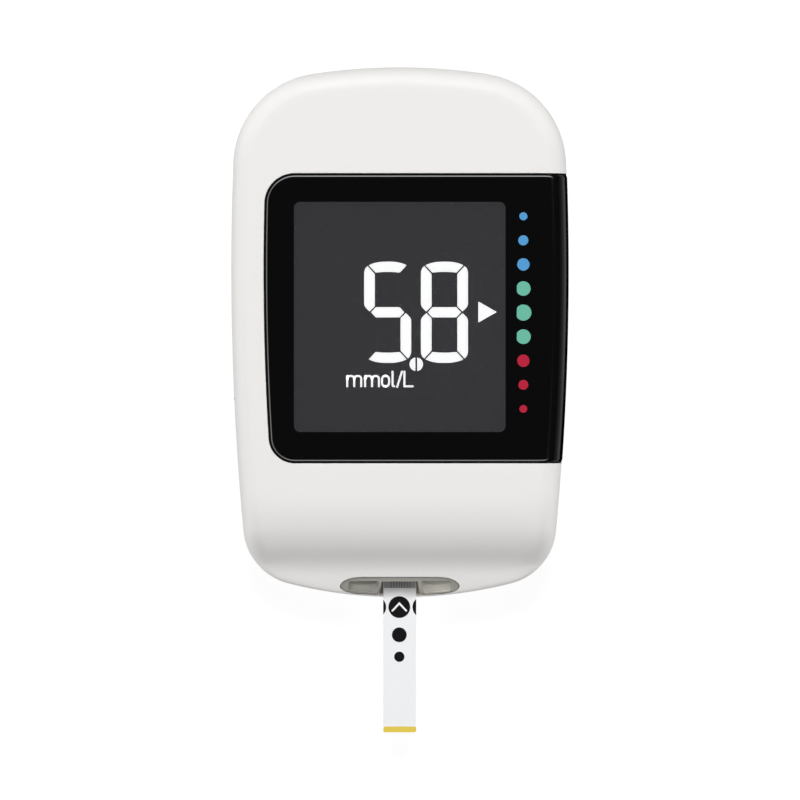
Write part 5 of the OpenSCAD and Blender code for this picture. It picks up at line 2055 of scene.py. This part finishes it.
@dataclass(frozen=True)
class UsbSocket:
    """The USB socket in the top end."""

    sheet: float = 0.3
    corner: float = 0.45
    taper: float = 0.9
    rise: float = 1.1
    pin_half: float = 0.14
    pins_x: float = 1.3

    def section(self, inset: float) -> Plan:
        """Outline of the shell: square above, drawn in below.

        Args:
            inset: Distance by which it is smaller all round.

        Returns:
            The outline, as (across, up).
        """
        low, high = cad_box("usb_shell")
        x, z0, z1 = high.x - inset, low.z + inset, high.z - inset
        r = self.corner - min(inset, 0.2)
        taper, rise = self.taper, self.rise
        return (arc((x - r, z1 - r), r, 0, 90, 6) + arc((r - x, z1 - r), r, 90, 180, 6)
                + [(-x, z0 + rise), (-x + 0.1, z0 + rise - 0.25), (-x + taper - 0.15, z0 + 0.12),
                   (-x + taper + 0.1, z0), (x - taper - 0.1, z0), (x - taper + 0.15, z0 + 0.12),
                   (x - 0.1, z0 + rise - 0.25), (x, z0 + rise)])

    def build(self) -> None:
        """Models and dresses the socket."""
        low, high = cad_box("usb_shell")
        t = self.sheet
        places = ((t, low.y + t), (t, high.y - 0.15), (t - 0.08, high.y - 0.02), (t / 2, high.y),
                  (0.06, high.y - 0.04), (0.0, high.y - 0.15), (0.0, low.y))
        rings = [[Vector((x, y, z)) for x, z in self.section(inset)] for inset, y in places]
        shell = loft("usb_socket_shell", rings)
        finish_piece(shell, Palette.METAL, replaces=("usb_shell",))
        tongue = soften(cad_copy("usb_tongue", "usb_contact_tongue"), 0.08, segments=2)
        finish_piece(tongue, Palette.CONNECTOR, replaces=("usb_tongue",))
        low, high = cad_box("usb_tongue")
        pins = [box("pin", (x - self.pin_half, low.y + 0.6, low.z - 0.03),
                    (x + self.pin_half, high.y - 0.3, low.z + 0.1))
                for x in spaced(-self.pins_x, self.pins_x, 4)]
        finish_piece(joined("usb_pins", pins), Palette.GOLD)


def screw_piece(name: str, places: Plan, z: float, top: float, radius: float,
                head_r: float, head_t: float) -> Object:
    """Pan-head screws that point up, with a cross recess and threads.

    Args:
        name: Name of the piece.
        places: Where the screws stand.
        z: Underside of the heads.
        top: Tips of the shanks.
        radius: Radius of the shanks.
        head_r: Radius of the heads.
        head_t: Thickness of the heads.

    Returns:
        The screws as one object.
    """
    screws = []
    for x, y in places:
        profile = [(0.02, z), (head_r * 0.7, z + 0.02), (head_r * 0.9, z + head_t * 0.2),
                   (head_r, z + head_t * 0.5), (head_r, z + head_t * 0.95), (head_r - 0.05, z + head_t),
                   (radius * 0.8, z + head_t)]
        pitch = 0.5
        steps = int((top - z - head_t - 0.6) / pitch)
        for i in range(steps):
            at = z + head_t + 0.1 + i * pitch
            profile += [(radius * 0.8, at + 0.12), (radius, at + 0.25), (radius * 0.8, at + 0.38)]
        profile += [(radius * 0.75, top - 0.4), (radius * 0.3, top), (0.02, top)]
        rings = [lift(arc((x, y), r, 0, 360, 32)[:-1], h) for r, h in profile]
        screw = loft("screw", rings)
        reach, half = head_r * 0.55, head_r * 0.14
        for a, b in ((reach, half), (half, reach)):
            carve(screw, [box("slot", (x - a, y - b, z - 1), (x + a, y + b, z + head_t * 0.55))])
        screws.append(screw)
    return joined(name, screws)


@dataclass(frozen=True)
class Hardware:
    """Screws, the ejector and what is dressed as packed."""

    screws: Screws
    contact_gap: float = 0.06

    def build(self) -> None:
        """Models and dresses the small parts."""
        low, high = cad_box("case_screws")
        case = screw_piece("case_screw_set", self.screws.case, low.z, high.z,
                           radius=0.95, head_r=1.75, head_t=1.08)
        finish_piece(case, Palette.SCREW, replaces=("case_screws",))
        low, high = cad_box("board_screws")
        board = screw_piece("board_screw_set", self.screws.board, low.z, high.z,
                            radius=0.6, head_r=1.1, head_t=0.8)
        finish_piece(board, Palette.SCREW, replaces=("board_screws",))
        slider = cad_copy("ejector_slider", "ejector_thumb_slider")
        low, high = cad_box("ejector_slider")
        tips = cad_box("strip_contacts")[0].z - self.contact_gap
        carve(slider, [box("trim", (low.x - 1, low.y - 1, tips), (high.x + 1, high.y + 1, high.z + 1))])
        soften(slider, 0.1, angle=40, segments=2)
        finish_piece(slider, Palette.EJECTOR, Body.EJECTOR, ("ejector_slider",))

    def dress(self) -> None:
        """Gives the CAD nodes that stay their finishes."""
        finishes = {
            "lens_tape": Palette.TAPE, "front_polariser": Palette.FILM, "rear_polariser": Palette.BACK_FILM,
            "lcd_front_glass": Palette.DISPLAY_GLASS, "lcd_rear_glass": Palette.DISPLAY_GLASS,
            "lcd_holder": Palette.WHITE_FRAME, "light_guide": Palette.GUIDE, "backlight_leds": Palette.LED,
            "zebra_strip": Palette.ZEBRA, "main_board": Palette.BOARD, "microcontroller": Palette.CHIP,
            "memory_chip": Palette.CHIP, "radio_chip": Palette.CHIP, "antenna": Palette.CERAMIC,
            "crystal": Palette.METAL, "buzzer": Palette.PLUNGER, "chip_capacitors": Palette.CERAMIC,
            "negative_contacts": Palette.GOLD, "positive_contacts": Palette.GOLD,
            "strip_connector": Palette.CONNECTOR, "strip_contacts": Palette.GOLD}
        for key in ("upper", "middle", "lower"):
            finishes[f"{key}_switch"] = Palette.METAL
            finishes[f"{key}_plunger"] = Palette.PLUNGER
        for name, finish in finishes.items():
            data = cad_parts[name].data
            material = finish.build()
            if not data.materials:
                data.materials.append(material)
            for index in range(len(data.materials)):
                data.materials[index] = material
            LOG.info("%s: dressed in %s", name, finish.name)


# ---- studio


@dataclass(frozen=True)
class Softbox:
    """A square lamp that faces the meter.

    Attributes:
        name: Its name.
        azimuth: Direction it stands in, in degrees from +X towards +Y.
        zenith: Angle from straight up, in degrees.
        radiance: Brightness of its face.
        size: Width of its face, in metres, at one metre's distance.
    """

    name: str
    azimuth: float
    zenith: float
    radiance: float
    size: float

    def build(self) -> None:
        """Sets the lamp up."""
        data = bpy.data.lights.new(self.name, "AREA")
        data.shape = "SQUARE"
        data.size = self.size
        data.energy = self.radiance * pi * self.size ** 2
        lamp = bpy.data.objects.new(self.name, data)
        bpy.context.scene.collection.objects.link(lamp)
        a, z = radians(self.azimuth), radians(self.zenith)
        way = Vector((cos(a) * sin(z), sin(a) * sin(z), cos(z)))
        lamp.location = way
        lamp.rotation_euler = (-way).to_track_quat("-Z", "Y").to_euler()
        lamp.visible_camera = False
        lamp.visible_glossy = False
        LOG.info("%s: radiance %.1f", self.name, self.radiance)


@dataclass(frozen=True)
class Studio:
    """Floor, sky, lamps and camera."""

    lamps: tuple[Softbox, ...] = (
        Softbox("key_lamp", 90, 36, 8.7, 0.44),
        Softbox("right_lamp", 0, 62, 4.6, 0.485),
        Softbox("left_lamp", 180, 62, 4.6, 0.485))
    floor_gap: float = 0.00002
    floor_shade: float = 0.2
    floor_seen: float = 0.87
    floor_bounce: float = 0.9
    # The next settings shape the floor's painted shadow and painted light, seen only in mirrors.
    round_mm: float = 12.0
    rise_mm: float = 4.4
    peak_mm: float = 7.6
    peak_light: float = 0.27
    under_light: float = 0.5
    under_mm: float = 3.0
    fade_power: float = 0.8
    sky: float = 0.2
    horizon: float = 0.3
    horizon_up: float = 0.42
    dark: float = 0.04
    ring_opens: Point = (0.60, 0.66)
    ring_closes: Point = (0.82, 0.88)
    ring_power: float = 1.5
    ring_scale: float = 0.6
    ring_top: float = 10.5
    ring_low: float = 5.8
    ring_left: float = 4.8
    view_w: float = 0.11624
    lens_mm: float = 900.0
    aim: Place = (0.00004, -0.00985, 0.010)

    def build_floor(self) -> None:
        """A white floor with a faint shadow, a painted shadow close by in mirrors, and open from below."""
        clear_selection()
        bpy.ops.mesh.primitive_plane_add(size=12, location=(0, 0, -self.floor_gap))
        bpy.ops.object.transform_apply(location=True, rotation=True, scale=True)
        floor = bpy.context.active_object
        floor.name = "floor"
        material = bpy.data.materials.new("pale_floor")
        material.use_nodes = True
        wire = Nodes(material.node_tree)
        place = wire.add("TexCoord").outputs["Object"]
        grain = wire.add("TexNoise", {"Vector": place, "Scale": 300.0}).outputs[0]
        bump = wire.add("Bump", {"Height": grain, "Strength": 0.1, "Distance": 0.0001})
        path = wire.add("LightPath").outputs
        shade = wire.maths("MULTIPLY", path["Is Camera Ray"], self.floor_shade)
        diffuse = wire.add("BsdfDiffuse", {"Color": shade, "Normal": bump.outputs[0]})
        seen = wire.maths("MULTIPLY_ADD", path["Is Camera Ray"], self.floor_seen,
                          path["Is Transmission Ray"])
        lit = wire.maths("MULTIPLY_ADD", path["Is Diffuse Ray"], self.floor_bounce, seen)
        # In mirrors the floor carries a painted shadow by the meter and painted light beyond it and under
        # it.
        near = self.mirrored(wire, place)
        strength = wire.maths("MULTIPLY_ADD", path["Is Glossy Ray"], near, lit)
        light = wire.add("Emission", {"Color": (1, 1, 1, 1), "Strength": strength})
        both = wire.add("AddShader", {0: diffuse.outputs[0], 1: light.outputs[0]})
        open_below = wire.add("BsdfTransparent")
        under = wire.maths("MULTIPLY", wire.add("NewGeometry").outputs["Backfacing"], path["Is Camera Ray"])
        wire.add("OutputMaterial", {"Surface": wire.blend(under, both, open_below)})
        floor.data.materials.append(material)

    def mirrored(self, wire: Nodes, place: Socket) -> Socket:
        """Brightness of the floor in mirrors, painted: a painted shadow by the meter, painted light under
        it and a little way off.

        Args:
            wire: The floor's nodes.
            place: The place on the floor.

        Returns:
            The brightness.
        """
        high = cad_box("front_cover")[1]
        half = Vector((high.x - self.round_mm, high.y - self.round_mm, 0.0))
        away = wire.add("VectorMath", {0: wire.scale(place, 1 / MM)}, operation="ABSOLUTE").outputs[0]
        past = wire.vector("SUBTRACT", away, half)
        outside = wire.vector("MAXIMUM", past, (0, 0, 0))
        length = wire.add("VectorMath", {0: outside}, operation="LENGTH").outputs["Value"]
        distance = wire.maths("SUBTRACT", length, self.round_mm)
        rise = wire.add("MapRange", {0: distance, 1: self.rise_mm, 2: self.peak_mm, 3: 0.0,
                                     4: self.peak_light}, interpolation_type="SMOOTHSTEP").outputs[0]
        further = wire.maths("MAXIMUM", distance, self.peak_mm)
        fade = wire.maths("POWER", wire.maths("DIVIDE", self.peak_mm, further), self.fade_power)
        under = wire.add("MapRange", {0: distance, 1: -self.round_mm, 2: self.under_mm - self.round_mm,
                                      3: self.under_light, 4: 0.0}).outputs[0]
        return wire.maths("MULTIPLY_ADD", rise, fade, under)

    def build_world(self) -> None:
        """A plain sky: white for the camera, soft for the object, a ring of light in mirrors."""
        world = bpy.data.worlds.new("sky")
        bpy.context.scene.world = world
        world.use_nodes = True
        wire = Nodes(world.node_tree)
        way = wire.add("SeparateXYZ", {0: wire.add("TexCoord").outputs["Generated"]}).outputs
        up = way[2]
        horizon = wire.add("MapRange", {0: up, 1: self.horizon_up, 2: 0.0, 3: 0.0,
                                        4: self.horizon}).outputs[0]
        soft = wire.maths("ADD", horizon, self.sky)
        first, last = self.ring_opens
        opening = wire.add("MapRange", {0: up, 1: first, 2: last, 3: 0.0, 4: 1.0}).outputs[0]
        first, last = self.ring_closes
        closing = wire.add("MapRange", {0: up, 1: first, 2: last, 3: 1.0, 4: 0.0}).outputs[0]
        ring = wire.maths("MULTIPLY", opening, closing)
        back = wire.maths("MULTIPLY", way[1], -1.0)
        aside = wire.maths("MULTIPLY", way[0], -1.0)
        top, low, left = (
            wire.maths("MULTIPLY", wire.maths("POWER", wire.maths("MAXIMUM", side, 0.0), self.ring_power),
                       level / self.ring_scale)
            for side, level in ((way[1], self.ring_top), (back, self.ring_low), (aside, self.ring_left)))
        around = wire.maths("MAXIMUM", wire.maths("ADD", top, low), left)
        gloss = wire.maths("MULTIPLY_ADD", ring, around, self.dark)
        path = wire.add("LightPath").outputs
        level = wire.maths("ADD", wire.maths("MULTIPLY", soft, path["Is Diffuse Ray"]),
                           wire.maths("MULTIPLY", gloss, path["Is Glossy Ray"]))
        light = wire.add("Background", {0: (1, 1, 1, 1), 1: level})
        white = wire.add("Background", {0: (1, 1, 1, 1), 1: 1.0})
        wire.add("OutputWorld", {0: wire.blend(path["Is Camera Ray"], light, white)})

    def build_camera(self) -> None:
        """The camera straight above the meter."""
        data = bpy.data.cameras.new("camera")
        data.lens = self.lens_mm
        data.sensor_width = 36.0
        camera = bpy.data.objects.new("camera", data)
        bpy.context.scene.collection.objects.link(camera)
        distance = self.view_w * self.lens_mm / data.sensor_width
        camera.location = Vector(self.aim) + Vector((0, 0, distance))
        data.clip_end = distance * 3
        bpy.context.scene.camera = camera

    def build(self) -> None:
        """Sets the whole studio up."""
        scene = bpy.context.scene
        scene.view_settings.view_transform = "Standard"
        self.build_camera()
        self.build_floor()
        self.build_world()
        for lamp in self.lamps:
            lamp.build()


def main() -> None:
    """Builds the studio and the meter, piece by piece."""
    logging.basicConfig(level=logging.INFO, format="%(name)s: %(message)s")
    Studio().build()
    body = measured_body()
    lens = Lens(body)
    port = Port(body)
    screws = Screws(body)
    buttons = Buttons(body)
    finish_piece(lens.build_frame(buttons.holes()), Palette.LENS,
                 replaces=("lens_frame",), angle=38)
    finish_piece(lens.build_pane(), Palette.PANE, replaces=("window_pane",), angle=38)
    finish_piece(lens.build_gap_shadow(), Palette.GAP_SHADOW, angle=38)
    FrontCover(body, lens, port, screws).build(buttons.holes())
    RearCover(body, port, screws).build()
    buttons.build(lens)
    Display(lens).build()
    PortInsert(body, port).build()
    TestStrip().build()
    Battery().build()
    UsbSocket().build()
    hardware = Hardware(screws)
    hardware.build()
    hardware.dress()


if __name__ == "__main__":
    main()
